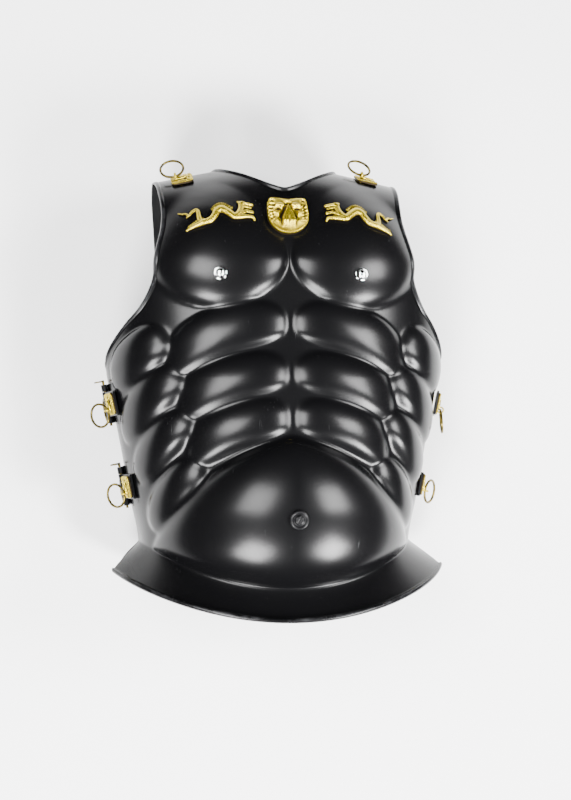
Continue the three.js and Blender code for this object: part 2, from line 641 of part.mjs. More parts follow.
/** Place on the side of a plate at height y and a depth from the meeting plane. */
function sidePlace(plate, side, y, depth) {
  const fraction = clamp01(depth / section(plate.depth, y));
  const p = Math.asin(roundOff(fraction, section('square', y))) / (Math.PI / 2);
  return { p: side * p, q: y };
}

/** Seat of a leaf: a frame on the side of a plate, with the lift that clears the sheet. */
function leafSeat(plate, side, y, halfLength) {
  const place = sidePlace(plate, side, y, LEAF.depth);
  const frame = frameOn(plate, place.p, place.q);
  return { frame, lift: standOff(plate, frame, place, LEAF.halfWidth, halfLength) + LEAF.gap };
}

/** Leaf: a flat block beside the seam, on which a plaque sits. */
function leaf(plate, side, y, length) {
  const { frame, lift } = leafSeat(plate, side, y, length / 2);
  const block = new THREE.BoxGeometry(2 * LEAF.halfWidth, length, LEAF.thickness);
  return stand(block.translate(0, 0, LEAF.thickness / 2), frame, lift);
}

/** Strap between a knuckle and the leaf of its plate, in the plane across the pin. */
function strap(plate, hinge, from, to) {
  const { frame, lift } = leafSeat(plate, -1, hinge.y, plate === BREAST ? HINGE.middle / 2 : HINGE.length / 2);
  const pin = vec(-seamX(hinge.y), hinge.y, 0).addScaledVector(PIN_OUT, HINGE.offset);
  const onLeaf = frame.point.clone().addScaledVector(frame.out, lift + LEAF.thickness / 2).sub(pin);
  onLeaf.addScaledVector(frame.across, 3 - LEAF.halfWidth);
  const start = new THREE.Vector2(-1, plate.out * (HINGE.bore + 0.6));
  const end = new THREE.Vector2(onLeaf.dot(PIN_OUT), onLeaf.z);
  const aside = end.clone().sub(start).rotateAround(new THREE.Vector2(), Math.PI / 2).setLength(0.8);
  const outline = [start.clone().add(aside), start.clone().sub(aside), end.clone().sub(aside), end.add(aside)];
  const bar = new THREE.ExtrudeGeometry(new THREE.Shape(outline), { depth: to - from, bevelEnabled: false });
  return bar.translate(0, 0, from);
}

/** Knuckle round the pin line, with the strap that ties it to the leaf of a plate. */
function knuckle(plate, hinge, from, to) {
  const wall = new THREE.Shape().absarc(0, 0, HINGE.knuckleRadius, 0, 2 * Math.PI, false);
  wall.holes.push(new THREE.Path().absarc(0, 0, HINGE.bore, 0, 2 * Math.PI, true));
  const size = { depth: to - from, bevelEnabled: false, curveSegments: 5 };
  const tube = new THREE.ExtrudeGeometry(wall, size).translate(0, 0, from);
  return [onPinLine(tube, hinge), onPinLine(strap(plate, hinge, from, to), hinge)];
}

function addHinge(hinge) {
  const { length, middle, gap, pinRadius, pullRadius, pullWire } = HINGE;
  const ends = [[-length / 2, -middle / 2 - gap], [middle / 2 + gap, length / 2]];
  const front = knuckle(BREAST, hinge, -middle / 2, middle / 2);
  const back = ends.flatMap(([from, to]) => knuckle(BACK, hinge, from, to));
  add(`hinge_front_${hinge.name}`, join([leaf(BREAST, -1, hinge.y, middle), ...front]), BLACK_IRON);
  add(`hinge_back_${hinge.name}`, join([leaf(BACK, -1, hinge.y, length), ...back]), BLACK_IRON);
  add(`leaf_front_${hinge.name}`, leaf(BREAST, 1, hinge.y, middle), BLACK_IRON);
  add(`leaf_back_${hinge.name}`, leaf(BACK, 1, hinge.y, middle), BLACK_IRON);
  const pinLength = length + 8;
  const pin = new THREE.CylinderGeometry(pinRadius, pinRadius, pinLength, 8);
  pin.rotateX(Math.PI / 2).translate(0, 0, pinLength / 2 - length / 2 - 3);
  const pull = new THREE.TorusGeometry(pullRadius, pullWire, 4, 10);
  pull.translate(pullRadius, 0, pinLength - length / 2 - 4);
  add(`hinge_pin_${hinge.name}`, onPinLine(join([pin, pull]), hinge), OLD_BRASS);
}

// ---------------------------------------------------------------- ring plaques
const PLAQUE = { half: 12.2, edge: 1.6, height: 4.4, gap: 0.5 };
const EYE = { drop: 6.5, outer: 4.1, inner: 2.4, width: 2.2, height: 5.7 };
const RING = { radius: 12.6, wire: 1.1 };

// Ring plaques. Those on the side leaves are placed by the leaf, those on the shoulders by x, y.
// hang is the way the ring leaves the eye: across the plaque, up its face, and outward.
const PLAQUES = [
  { name: 'shoulder_left', side: -1, x: -106.5, y: 240, hang: [-0.9, -0.15, 0.42] },
  { name: 'shoulder_right', side: 1, x: 100, y: 244, hang: [-0.9, -0.15, 0.42] },
  { name: 'front_upper_left', plate: BREAST, side: -1, hinge: HINGES[0], hang: [-0.82, -0.3, 0.5] },
  { name: 'front_upper_right', plate: BREAST, side: 1, hinge: HINGES[0], hang: [0, -0.96, 0.25], crosswise: true },
  { name: 'front_lower_left', plate: BREAST, side: -1, hinge: HINGES[1], hang: [-0.86, -0.1, 0.5] },
  { name: 'front_lower_right', plate: BREAST, side: 1, hinge: HINGES[1], hang: [0.88, 0, 0.47] },
  { name: 'back_upper_left', plate: BACK, side: -1, hinge: HINGES[0], hang: [-0.9, 0, 0.4] },
  { name: 'back_upper_right', plate: BACK, side: 1, hinge: HINGES[0], hang: [0.9, 0, 0.4] },
  { name: 'back_lower_left', plate: BACK, side: -1, hinge: HINGES[1], hang: [-0.9, 0, 0.4] },
  { name: 'back_lower_right', plate: BACK, side: 1, hinge: HINGES[1], hang: [0.9, 0, 0.4] },
];

function plaqueReach(angle) {
  const square = 6;
  const size = Math.abs(Math.cos(angle)) ** square + Math.abs(Math.sin(angle)) ** square;
  return PLAQUE.half * size ** (-1 / square);
}

/** Plaque with the eye that holds its ring; the eye's hole runs up the face, or across. */
function plaqueGeometry(crosswise) {
  const relief = (x, y) => lerp(PLAQUE.height, PLAQUE.edge, Math.hypot(x, y) / PLAQUE.half);
  const wall = new THREE.Shape().absarc(0, 0, EYE.outer, 0, 2 * Math.PI, false);
  wall.holes.push(new THREE.Path().absarc(0, 0, EYE.inner, 0, 2 * Math.PI, true));
  const eye = new THREE.ExtrudeGeometry(wall, { depth: EYE.width, bevelEnabled: false, curveSegments: 3 });
  eye.translate(0, 0, -EYE.width / 2).rotateX(Math.PI / 2);
  if (crosswise) eye.rotateZ(Math.PI / 2);
  eye.translate(0, -EYE.drop, EYE.height);
  return join([medallion(plaqueReach, relief, 2, 8, PLAQUE.edge), eye]);
}

/** Seat of a shoulder plaque, with its face turned sideways so that it faces the neck. */
function shoulderSeat(plaque) {
  const place = bodyPlace(plaque.x, plaque.y);
  const frame = frameOn(BREAST, place.p, place.q);
  const lift = standOff(BREAST, frame, place, PLAQUE.half, PLAQUE.half) + PLAQUE.gap;
  frame.across.applyAxisAngle(frame.out, -Math.PI / 2);
  frame.along.applyAxisAngle(frame.out, -Math.PI / 2);
  return { frame, lift };
}

/** Seat of a side plaque, on top of the leaf below it. */
function sideSeat(plaque) {
  const ownLeaf = plaque.plate === BACK && plaque.side < 0 ? HINGE.length : HINGE.middle;
  const { frame, lift } = leafSeat(plaque.plate, plaque.side, plaque.hinge.y, ownLeaf / 2);
  return { frame, lift: lift + LEAF.thickness + PLAQUE.gap };
}

function addPlaque(plaque) {
  const { frame, lift } = plaque.hinge ? sideSeat(plaque) : shoulderSeat(plaque);
  add(`plaque_${plaque.name}`, stand(plaqueGeometry(plaque.crosswise), frame, lift), BRASS);
  const [across, along, out] = plaque.hang;
  const hang = frame.across.clone().multiplyScalar(across);
  hang.addScaledVector(frame.along, along).addScaledVector(frame.out, out).normalize();
  const through = (plaque.crosswise ? frame.across : frame.along).clone();
  through.addScaledVector(hang, -through.dot(hang)).normalize();
  const middle = frame.point.clone().addScaledVector(frame.out, lift + EYE.height);
  middle.addScaledVector(frame.along, -EYE.drop).addScaledVector(hang, RING.radius);
  const basis = new THREE.Matrix4().makeBasis(hang, through, hang.clone().cross(through));
  const ring = new THREE.TorusGeometry(RING.radius, RING.wire, 4, 12);
  add(`ring_${plaque.name}`, ring.applyMatrix4(basis.setPosition(middle)), OLD_BRASS);
}

// ---------------------------------------------------------------- the cuirass
const BREAST_GRID = { columns: 14, flange: 4, seam: 16, arm: 12, shoulder: 3 };
const BACK_GRID = { columns: 9, flange: 2, seam: 6, arm: 7, shoulder: 2 };
add('breastplate', sheetGeometry(BREAST, BREAST_GRID), BLACK_STEEL);
add('backplate', sheetGeometry(BACK, BACK_GRID), BLACK_STEEL);
addLionMask();
add('dragon_left', dragonGeometry(-1), BRASS);
add('dragon_right', dragonGeometry(1), BRASS);
addChestStuds();
HINGES.forEach(addHinge);
PLAQUES.forEach(addPlaque);

const box = new THREE.Box3().setFromObject(group);
const centre = box.getCenter(vec(0, 0, 0));
group.position.set(-centre.x, -centre.y, -box.min.z);

export default group;
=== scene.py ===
"""Hinged muscle cuirass lying on its back on a pale floor.

An embossed breastplate and a plain backplate meet down both sides and over the shoulders. Cast
brass ornaments, ring plaques and pinned hinges are fitted to them. The classes work in
millimetres in the armourer's own frame, in which X runs across the body, Y toward the neck, Z out
of the chest, and the two plates meet at Z = 0. Fitting carries that frame onto the CAD frame.
"""

import json
import logging
import math
from dataclasses import dataclass, field
from enum import Enum
from typing import Callable, Optional, Sequence, Union

import bpy
import numpy as np
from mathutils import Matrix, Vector

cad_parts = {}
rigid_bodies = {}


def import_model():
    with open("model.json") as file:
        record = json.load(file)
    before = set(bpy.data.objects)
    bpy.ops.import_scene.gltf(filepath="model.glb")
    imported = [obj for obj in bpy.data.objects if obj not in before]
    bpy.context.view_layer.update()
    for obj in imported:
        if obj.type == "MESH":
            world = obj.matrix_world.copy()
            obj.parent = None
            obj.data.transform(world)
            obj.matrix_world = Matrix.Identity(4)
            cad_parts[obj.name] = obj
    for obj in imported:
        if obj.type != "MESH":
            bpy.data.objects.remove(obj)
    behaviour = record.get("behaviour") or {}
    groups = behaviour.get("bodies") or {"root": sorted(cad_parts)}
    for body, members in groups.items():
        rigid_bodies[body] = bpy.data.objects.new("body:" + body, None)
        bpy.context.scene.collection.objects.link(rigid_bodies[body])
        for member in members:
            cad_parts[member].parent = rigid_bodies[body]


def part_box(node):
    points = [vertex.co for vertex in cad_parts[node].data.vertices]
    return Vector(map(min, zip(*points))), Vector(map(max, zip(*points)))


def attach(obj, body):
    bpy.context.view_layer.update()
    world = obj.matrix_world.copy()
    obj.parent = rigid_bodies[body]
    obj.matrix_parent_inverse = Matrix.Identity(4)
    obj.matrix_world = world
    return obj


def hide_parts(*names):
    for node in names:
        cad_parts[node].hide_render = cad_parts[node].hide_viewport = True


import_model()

LOG = logging.getLogger("cuirass")
LEAF_HEIGHTS = {"upper": -3.0, "lower": -94.0}
Array = np.ndarray
Value = Union["Socket", float, Sequence[float]]


class Body(Enum):
    """Rigid bodies of the cuirass."""

    FRONT = "breastplate"
    BACK = "backplate"


class Side(Enum):
    """Sides of the cuirass, seen from the front."""

    LEFT = -1
    RIGHT = 1


# ------------------------------------------------------------------ shader writing
class Socket:
    """One output socket of a shader node, on which arithmetic adds Math nodes."""

    def __init__(self, graph: "Graph", output: bpy.types.NodeSocket) -> None:
        """Keep the graph the socket belongs to and the socket itself.

        Args:
            graph: Graph that the socket belongs to.
            output: Blender's own socket.
        """
        self.graph = graph
        self.output = output

    def _math(self, operation: str, first: Value, second: Value) -> "Socket":
        """Return the result of one Math node."""
        return self.graph.node("ShaderNodeMath", {"operation": operation}, {0: first, 1: second})

    def __add__(self, other: Value) -> "Socket":
        """Return self + other."""
        return self._math("ADD", self, other)

    def __radd__(self, other: Value) -> "Socket":
        """Return other + self."""
        return self._math("ADD", other, self)

    def __sub__(self, other: Value) -> "Socket":
        """Return self - other."""
        return self._math("SUBTRACT", self, other)

    def __rsub__(self, other: Value) -> "Socket":
        """Return other - self."""
        return self._math("SUBTRACT", other, self)

    def __mul__(self, other: Value) -> "Socket":
        """Return self * other."""
        return self._math("MULTIPLY", self, other)

    def __rmul__(self, other: Value) -> "Socket":
        """Return other * self."""
        return self._math("MULTIPLY", other, self)

    def __pow__(self, other: Value) -> "Socket":
        """Return self ** other."""
        return self._math("POWER", self, other)

    def clamped(self) -> "Socket":
        """Return the value held between 0 and 1."""
        return self.graph.node("ShaderNodeClamp", {}, {"Value": self})


class Graph:
    """Node tree of one material, written as expressions."""

    def __init__(self, name: str) -> None:
        """Make the material and empty its tree.

        Args:
            name: Name of the material.
        """
        self.material = bpy.data.materials.new(name)
        self.material.use_nodes = True
        self.tree = self.material.node_tree
        self.tree.nodes.clear()

    def node(self, kind: str, settings: dict, inputs: dict, output: Union[int, str] = 0) -> Socket:
        """Add a node.

        Args:
            kind: Type name of the node.
            settings: Properties of the node, set first.
            inputs: Values or sockets by input name or index.
            output: Name or index of the output to return.

        Returns:
            The chosen output.
        """
        made = self.tree.nodes.new(kind)
        for key, value in settings.items():
            setattr(made, key, value)
        for key, value in inputs.items():
            if isinstance(value, Socket):
                self.tree.links.new(value.output, made.inputs[key])
            else:
                made.inputs[key].default_value = value
        return Socket(self, made.outputs[output])

    def place(self) -> Socket:
        """Return the point on the object, in metres."""
        return self.node("ShaderNodeTexCoord", {}, {}, "Object")

    def noise(self, scale: float, detail: float = 3.0, rough: float = 0.55) -> Socket:
        """Return noise between 0 and 1 over the object.

        Args:
            scale: Lumps to the metre.
            detail: Octaves of finer noise.
            rough: Share of each finer octave.

        Returns:
            The noise value.
        """
        inputs = {"Vector": self.place(), "Scale": scale, "Detail": detail, "Roughness": rough}
        return self.node("ShaderNodeTexNoise", {}, inputs, 0)

    def streaks(self, scale: float, along: Sequence[float]) -> Socket:
        """Return noise drawn out into streaks.

        Args:
            scale: Streaks to the metre across.
            along: Share of that scale along each axis.

        Returns:
            The noise value.
        """
        factors = {0: self.place(), 1: along}
        drawn = self.node("ShaderNodeVectorMath", {"operation": "MULTIPLY"}, factors)
        inputs = {"Vector": drawn, "Scale": scale, "Detail": 2.0}
        return self.node("ShaderNodeTexNoise", {}, inputs, 0)

    def ramp(self, value: Value, low: float, high: float) -> Socket:
        """Return 0 below low and 1 above high, smooth between.

        Args:
            value: The value.
            low: Value at which the result leaves 0.
            high: Value at which it reaches 1.

        Returns:
            0 below low and 1 above high, smooth between.
        """
        settings = {"interpolation_type": "SMOOTHSTEP"}
        inputs = {"Value": value, "From Min": low, "From Max": high}
        return self.node("ShaderNodeMapRange", settings, inputs)

    def mask(self, name: str) -> Socket:
        """Return a value stored on the vertices."""
        return self.node("ShaderNodeAttribute", {"attribute_name": name}, {}, "Fac")

    def blend(self, share: Value, first: Value, second: Value) -> Socket:
        """Return a colour between two colours."""
        return self.node("ShaderNodeMix", {"data_type": "RGBA"}, {0: share, 6: first, 7: second}, 2)

    def bump(self, height: Value, depth: float, strength: float) -> Socket:
        """Return a normal bent by a height.

        Args:
            height: Height between 0 and 1.
            depth: Height of one unit, in metres.
            strength: Share of the effect.

        Returns:
            The bent normal.
        """
        inputs = {"Height": height, "Distance": depth, "Strength": strength}
        return self.node("ShaderNodeBump", {}, inputs)

    def finish(self, inputs: dict) -> bpy.types.Material:
        """Close the tree with a Principled shader.

        Args:
            inputs: Values or sockets of the shader.

        Returns:
            The material.
        """
        shader = self.node("ShaderNodeBsdfPrincipled", {}, inputs)
        closing = self.tree.nodes.new("ShaderNodeOutputMaterial")
        self.tree.links.new(shader.output, closing.inputs["Surface"])
        return self.material


def shade(red: float, green: float, blue: float) -> tuple:
    """Return an opaque colour."""
    return (red, green, blue, 1.0)


class Finish:
    """A finish, of which each kind writes the inputs of its shader."""

    name: str

    def inputs(self, g: Graph) -> dict:
        """Return the inputs of the shader."""
        raise NotImplementedError

    def material(self) -> bpy.types.Material:
        """Build the material of the finish.

        Returns:
            The material.
        """
        graph = Graph(self.name)
        return graph.finish(self.inputs(graph))


@dataclass(frozen=True)
class SatinBlack(Finish):
    """Black paint on steel, rubbed to a satin sheen, with fine scratches and specks of dust."""

    name: str = "satin_black"
    paint: tuple = shade(0.0022, 0.0022, 0.0025)
    worn: tuple = shade(0.05, 0.05, 0.053)
    roughness: float = 0.25
    dust: float = 0.05

    def inputs(self, g: Graph) -> dict:
        """Return the inputs of the shader.

        Args:
            g: Graph to write on.

        Returns:
            The inputs of the shader.
        """
        cloud = g.noise(9.0, 4.0)
        grain = g.noise(900.0, 2.0)
        orange = g.noise(260.0, 1.0)
        streak = g.ramp(g.streaks(420.0, (1.0, 0.035, 1.0)), 0.66, 0.74)
        scratch = streak * g.ramp(g.noise(24.0), 0.5, 0.7)
        speck = g.ramp(g.noise(1500.0, 0.0), 0.78, 0.84) * g.ramp(g.noise(13.0), 0.45, 0.7)
        rim = g.mask("rim") * g.ramp(g.noise(70.0, 3.0), 0.35, 0.75)
        wear = (rim * 0.5 + scratch * 0.12 + speck * self.dust).clamped()
        rough = self.roughness + (cloud - 0.5) * 0.1 + (grain - 0.5) * 0.05
        rough = rough - rim * 0.08 + scratch * 0.05
        height = orange * 0.5 + grain * 0.2 - scratch * 0.6
        return {
            "Base Color": g.blend(wear, self.paint, self.worn),
            "Roughness": rough,
            "Normal": g.bump(height, 0.00006, 0.5),
            "Specular IOR Level": 0.2,
        }


@dataclass(frozen=True)
class CastBrass(Finish):
    """Polished cast brass, with shade painted into its hollows and round its edges."""

    name: str = "cast_brass"
    bright: tuple = shade(0.60, 0.46, 0.022)
    # Colour of the painted shade in the hollows and at the edges of the castings.
    painted_shade_colour: tuple = shade(0.022, 0.013, 0.001)
    roughness: float = 0.25

    def inputs(self, g: Graph) -> dict:
        """Return the inputs of the shader.

        Args:
            g: Graph to write on.

        Returns:
            The inputs of the shader.
        """
        # Painted shade: the mask darkens the hollows and edges of the casting, broken up by noise;
        # it also makes the metal rougher and less metallic there.
        hollow = (g.mask("hollow") * 1.5 + (g.noise(500.0, 3.0) - 0.5) * 0.35).clamped()
        grain = g.noise(2600.0, 2.0)
        pit = g.noise(650.0, 2.0)
        cloud = g.noise(120.0, 3.0)
        tone = g.blend(g.ramp(cloud, 0.35, 0.75) * 0.35, self.bright, shade(0.46, 0.34, 0.015))
        rough = self.roughness + hollow * 0.3 + (grain - 0.5) * 0.12
        return {
            # Painted shade: the brass colour is blended toward the shade colour by the mask.
            "Base Color": g.blend(hollow, tone, self.painted_shade_colour),
            "Metallic": 0.9 - hollow * 0.2,
            "Roughness": rough,
            "Normal": g.bump(grain * 0.5 + pit, 0.00035, 0.6),
        }


@dataclass(frozen=True)
class AgedBrass(Finish):
    """Drawn brass wire, tarnished brown and rubbed bright in places."""

    name: str = "aged_brass"
    tarnish: tuple = shade(0.045, 0.034, 0.009)
    rubbed: tuple = shade(0.24, 0.18, 0.04)

    def inputs(self, g: Graph) -> dict:
        """Return the inputs of the shader.

        Args:
            g: Graph to write on.

        Returns:
            The inputs of the shader.
        """
        patch = g.ramp(g.noise(260.0, 4.0), 0.38, 0.68)
        return {
            "Base Color": g.blend(patch, self.tarnish, self.rubbed),
            "Metallic": 1.0,
            "Roughness": 0.42 - patch * 0.14,
            "Normal": g.bump(g.noise(1800.0), 0.00008, 0.5),
        }


@dataclass(frozen=True)
class Chrome(Finish):
    """Polished chrome with a trace of haze."""

    name: str = "chrome_plate"

    def inputs(self, g: Graph) -> dict:
        """Return the inputs of the shader.

        Args:
            g: Graph to write on.

        Returns:
            The inputs of the shader.
        """
        haze = g.noise(900.0, 3.0)
        return {
            "Base Color": g.blend(haze, shade(0.78, 0.79, 0.8), shade(0.9, 0.9, 0.91)),
            "Metallic": 1.0,
            "Roughness": 0.06 + haze * 0.08,
        }


@dataclass(frozen=True)
class BareInside(Finish):
    """Inner face of the plates: black paint, dull and dusty, with hammer planishing."""

    name: str = "inner_black"

    def inputs(self, g: Graph) -> dict:
        """Return the inputs of the shader.

        Args:
            g: Graph to write on.

        Returns:
            The inputs of the shader.
        """
        dents = g.node("ShaderNodeTexVoronoi", {}, {"Vector": g.place(), "Scale": 70.0}, "Distance")
        cloud = g.noise(30.0, 5.0)
        return {
            "Base Color": g.blend(cloud, shade(0.006, 0.006, 0.0065), shade(0.014, 0.014, 0.0145)),
            "Roughness": 0.5 + cloud * 0.15,
            "Specular IOR Level": 0.15,
            "Normal": g.bump(dents, 0.0006, 0.3),
        }


@dataclass(frozen=True)
class PaleFloor(Finish):
    """Matt white paper, with a painted falloff of light that darkens it to grey far from the
    middle.
    """

    name: str = "pale_floor"

    def inputs(self, g: Graph) -> dict:
        """Return the inputs of the shader.

        Args:
            g: Graph to write on.

        Returns:
            The inputs of the shader.
        """
        tooth = g.noise(1200.0, 3.0)
        away = g.node("ShaderNodeVectorMath", {"operation": "LENGTH"}, {0: g.place()}, "Value")
        paper = g.blend(g.noise(3.0), shade(0.94, 0.94, 0.945), shade(0.96, 0.96, 0.96))
        return {
            # Painted falloff of light: the paper is blended to a dark grey from 0.65 m to 2.2 m out
            # from the middle of the floor.
            "Base Color": g.blend(g.ramp(away, 0.65, 2.2), paper, shade(0.30, 0.30, 0.31)),
            "Roughness": 0.85 + tooth * 0.1,
            "Specular IOR Level": 0.1,
        }


@dataclass
class Finishes:
    """One material of each finish, built once and shared."""

    black: bpy.types.Material = field(default_factory=SatinBlack().material)
    iron: bpy.types.Material = field(default_factory=SatinBlack(
        "black_iron", shade(0.004, 0.004, 0.0045), shade(0.03, 0.03, 0.03), 0.32, 0.3,
    ).material)
    inside: bpy.types.Material = field(default_factory=BareInside().material)
    brass: bpy.types.Material = field(default_factory=CastBrass().material)
    wire: bpy.types.Material = field(default_factory=AgedBrass().material)
    chrome: bpy.types.Material = field(default_factory=Chrome().material)
    floor: bpy.types.Material = field(default_factory=PaleFloor().material)


# ------------------------------------------------------------------ small maths
def smooth(value: Array) -> Array:
    """Return the smooth step of a value held between 0 and 1.

    Args:
        value: Values to hold and smooth.

    Returns:
        The smooth step of a value held between 0 and 1.
    """
    held = np.clip(value, 0.0, 1.0)
    return held * held * (3.0 - 2.0 * held)


def round_off(fraction: Array, power: Array) -> Array:
    """Return the other side of a superellipse of unit size."""
    return (1.0 - np.clip(fraction, 0.0, 1.0) ** power) ** (1.0 / power)


def mix(first: Array, second: Array, share: Array) -> Array:
    """Return the value at a share of the way from first to second."""
    return first + (second - first) * share


def unit(vectors: Array) -> Array:
    """Return vectors of length one."""
    return vectors / np.maximum(np.linalg.norm(vectors, axis=-1, keepdims=True), 1e-9)


def blurred(values: Array, sigma: float) -> Array:
    """Blur a grid of values.

    Args:
        values: Two-dimensional grid.
        sigma: Spread of the blur, in cells.

    Returns:
        The blurred grid.
    """
    reach = int(math.ceil(3 * sigma))
    weights = np.exp(-0.5 * (np.arange(-reach, reach + 1) / sigma) ** 2)
    weights /= weights.sum()
    padded = np.pad(values, reach, mode="edge")
    rows = sum(w * padded[k:k + values.shape[0], :] for k, w in enumerate(weights))
    return sum(w * rows[:, k:k + values.shape[1]] for k, w in enumerate(weights))


def wave(x: Array) -> Array:
    """Return a wave between 0 and 1 with one crest at each whole number."""
    return 0.5 + 0.5 * np.cos(2 * math.pi * x)


def bump_at(x: Array, y: Array, cx: float, cy: float, rx: float, ry: float) -> Array:
    """Return a soft round bump of height one about a centre."""
    return np.exp(-(((x - cx) / rx) ** 2) - ((y - cy) / ry) ** 2)


# ------------------------------------------------------------------ meshes
@dataclass(frozen=True)
class Fitting:
    """Carries the armourer's frame, in millimetres, onto the CAD frame, in metres."""

    x: float
    y: float
    z: float

    @classmethod
    def from_frame(cls) -> "Fitting":
        """Find the frame's place from the boxes of the two plates.

        Returns:
            The fitting.
        """
        low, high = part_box("breastplate")
        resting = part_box("backplate")[0]
        middle = 1000 * (low.x + high.x) / 2
        return cls(middle, 1000 * low.y + Flange.LOW_Y, 1000 * resting.z + Flange.REST)

    def metres(self, points: Array) -> Array:
        """Return points in metres in the CAD frame."""
        return (np.asarray(points, float) + (self.x, self.y, self.z)) / 1000.0


class Flange:
    """Reach of the plates in the armourer's frame, by which the fitting is found."""

    LOW_Y = 229.317
    REST = 100.0


@dataclass
class Surface:
    """Mesh under construction: points in millimetres, faces, and values on the points."""

    points: Array
    faces: Array
    masks: dict = field(default_factory=dict)

    def joined(self, other: "Surface") -> "Surface":
        """Return this surface and another as one.

        Args:
            other: The other surface.

        Returns:
            This surface and another as one.
        """
        masks = {}
        for key in set(self.masks) | set(other.masks):
            ours = self.masks.get(key, np.zeros(len(self.points)))
            theirs = other.masks.get(key, np.zeros(len(other.points)))
            masks[key] = np.concatenate([ours, theirs])
        first = len(self.points)
        faces = [tuple(face) for face in self.faces]
        faces += [tuple(i + first for i in face) for face in other.faces]
        return Surface(np.vstack([self.points, other.points]), faces, masks)

    def moved(self, basis: Array, origin: Array) -> "Surface":
        """Return the surface with its axes laid along the rows of a basis."""
        return Surface(self.points @ basis + origin, self.faces, self.masks)


def grid_faces(rows: int, columns: int, flip: bool = False, start: int = 0) -> Array:
    """Return the quads of a grid of points.

    Args:
        rows: Rows of points.
        columns: Points in a row.
        flip: Turn the faces the other way.
        start: Number of the first point.

    Returns:
        Four point numbers a quad.
    """
    j, i = np.meshgrid(np.arange(rows - 1), np.arange(columns - 1), indexing="ij")
    a = (start + j * columns + i).ravel()
    quads = np.stack([a, a + 1, a + columns + 1, a + columns], axis=1)
    return quads[:, ::-1] if flip else quads


@dataclass
class Workshop:
    """Turns surfaces into Blender objects that ride on the cuirass."""

    fitting: Fitting
    finishes: Finishes

    def make(
        self, name: str, surface: Surface, material: bpy.types.Material, body: Body,
        replaces: Sequence[str] = (), sharp: Optional[float] = None,
    ) -> None:
        """Make an object and fit it.

        Args:
            name: Name of the object.
            surface: Its mesh.
            material: Its finish.
            body: Body that it rides on.
            replaces: CAD nodes that it stands for.
            sharp: Angle in degrees above which edges stay sharp, or none.
        """
        mesh = bpy.data.meshes.new(name)
        corners = self.fitting.metres(surface.points).tolist()
        mesh.from_pydata(corners, [], [tuple(map(int, face)) for face in surface.faces])
        mesh.materials.append(material)
        mesh.shade_smooth()
        for key, values in surface.masks.items():
            attribute = mesh.attributes.new(key, "FLOAT", "POINT")
            attribute.data.foreach_set("value", np.asarray(values, np.float32))
        if sharp is not None:
            mesh.set_sharp_from_angle(angle=math.radians(sharp))
        mesh.validate()
        made = bpy.data.objects.new(name, mesh)
        bpy.context.collection.objects.link(made)
        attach(made, body.value)
        if replaces:
            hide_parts(*replaces)
        LOG.info("%s: %d faces on %s", name, len(mesh.polygons), body.value)

    def dress(self, name: str, material: bpy.types.Material, bevel: float) -> None:
        """Dress a piece carried over from the CAD model.

        Args:
            name: Name of the piece.
            material: Its finish.
            bevel: Width of the softened edges, in millimetres.
        """
        piece = bpy.data.objects[name]
        for place in piece.material_slots:
            place.material = material
        softened = piece.modifiers.new("softened_edges", "BEVEL")
        softened.width = bevel / 1000
        softened.segments = 2
        softened.limit_method = "ANGLE"
        LOG.info("%s: dressed", name)


def turned(profile: Sequence[tuple], count: int = 40) -> Surface:
    """Return a turned piece round the z axis.

    Args:
        profile: (radius, height) pairs from the axis to the axis.
        count: Points round it.

    Returns:
        The surface.
    """
    angles = np.linspace(0, 2 * math.pi, count, endpoint=False)
    rings = [[(r * math.cos(a), r * math.sin(a), h) for a in angles] for r, h in profile]
    points = np.array(rings, float).reshape(-1, 3)
    faces = []
    for j in range(len(profile) - 1):
        for i in range(count):
            k = (i + 1) % count
            faces.append((j * count + i, j * count + k, (j + 1) * count + k, (j + 1) * count + i))
    return Surface(points, faces)


def torus(radius: float, wire: float, around: int = 64, section: int = 12) -> Surface:
    """Return a wire ring in the plane of x and y.

    Args:
        radius: Radius of its centre line.
        wire: Radius of the wire.
        around: Points round the ring.
        section: Points round the wire.

    Returns:
        The surface.
    """
    a, b = np.meshgrid(
        np.linspace(0, 2 * math.pi, around, endpoint=False),
        np.linspace(0, 2 * math.pi, section, endpoint=False), indexing="ij",
    )
    reach = radius + wire * np.cos(b)
    points = np.stack([reach * np.cos(a), reach * np.sin(a), wire * np.sin(b)], -1).reshape(-1, 3)
    faces = []
    for j in range(around):
        for i in range(section):
            k, m = (j + 1) % around, (i + 1) % section
            faces.append((j * section + i, k * section + i, k * section + m, j * section + m))
    return Surface(points, faces)


def bar(radius: float, low: float, high: float, bevel: float, count: int = 28) -> Surface:
    """Return a round bar along z with bevelled ends."""
    return turned([
        (0.0, low), (radius - bevel, low), (radius, low + bevel),
        (radius, high - bevel), (radius - bevel, high), (0.0, high),
    ], count)


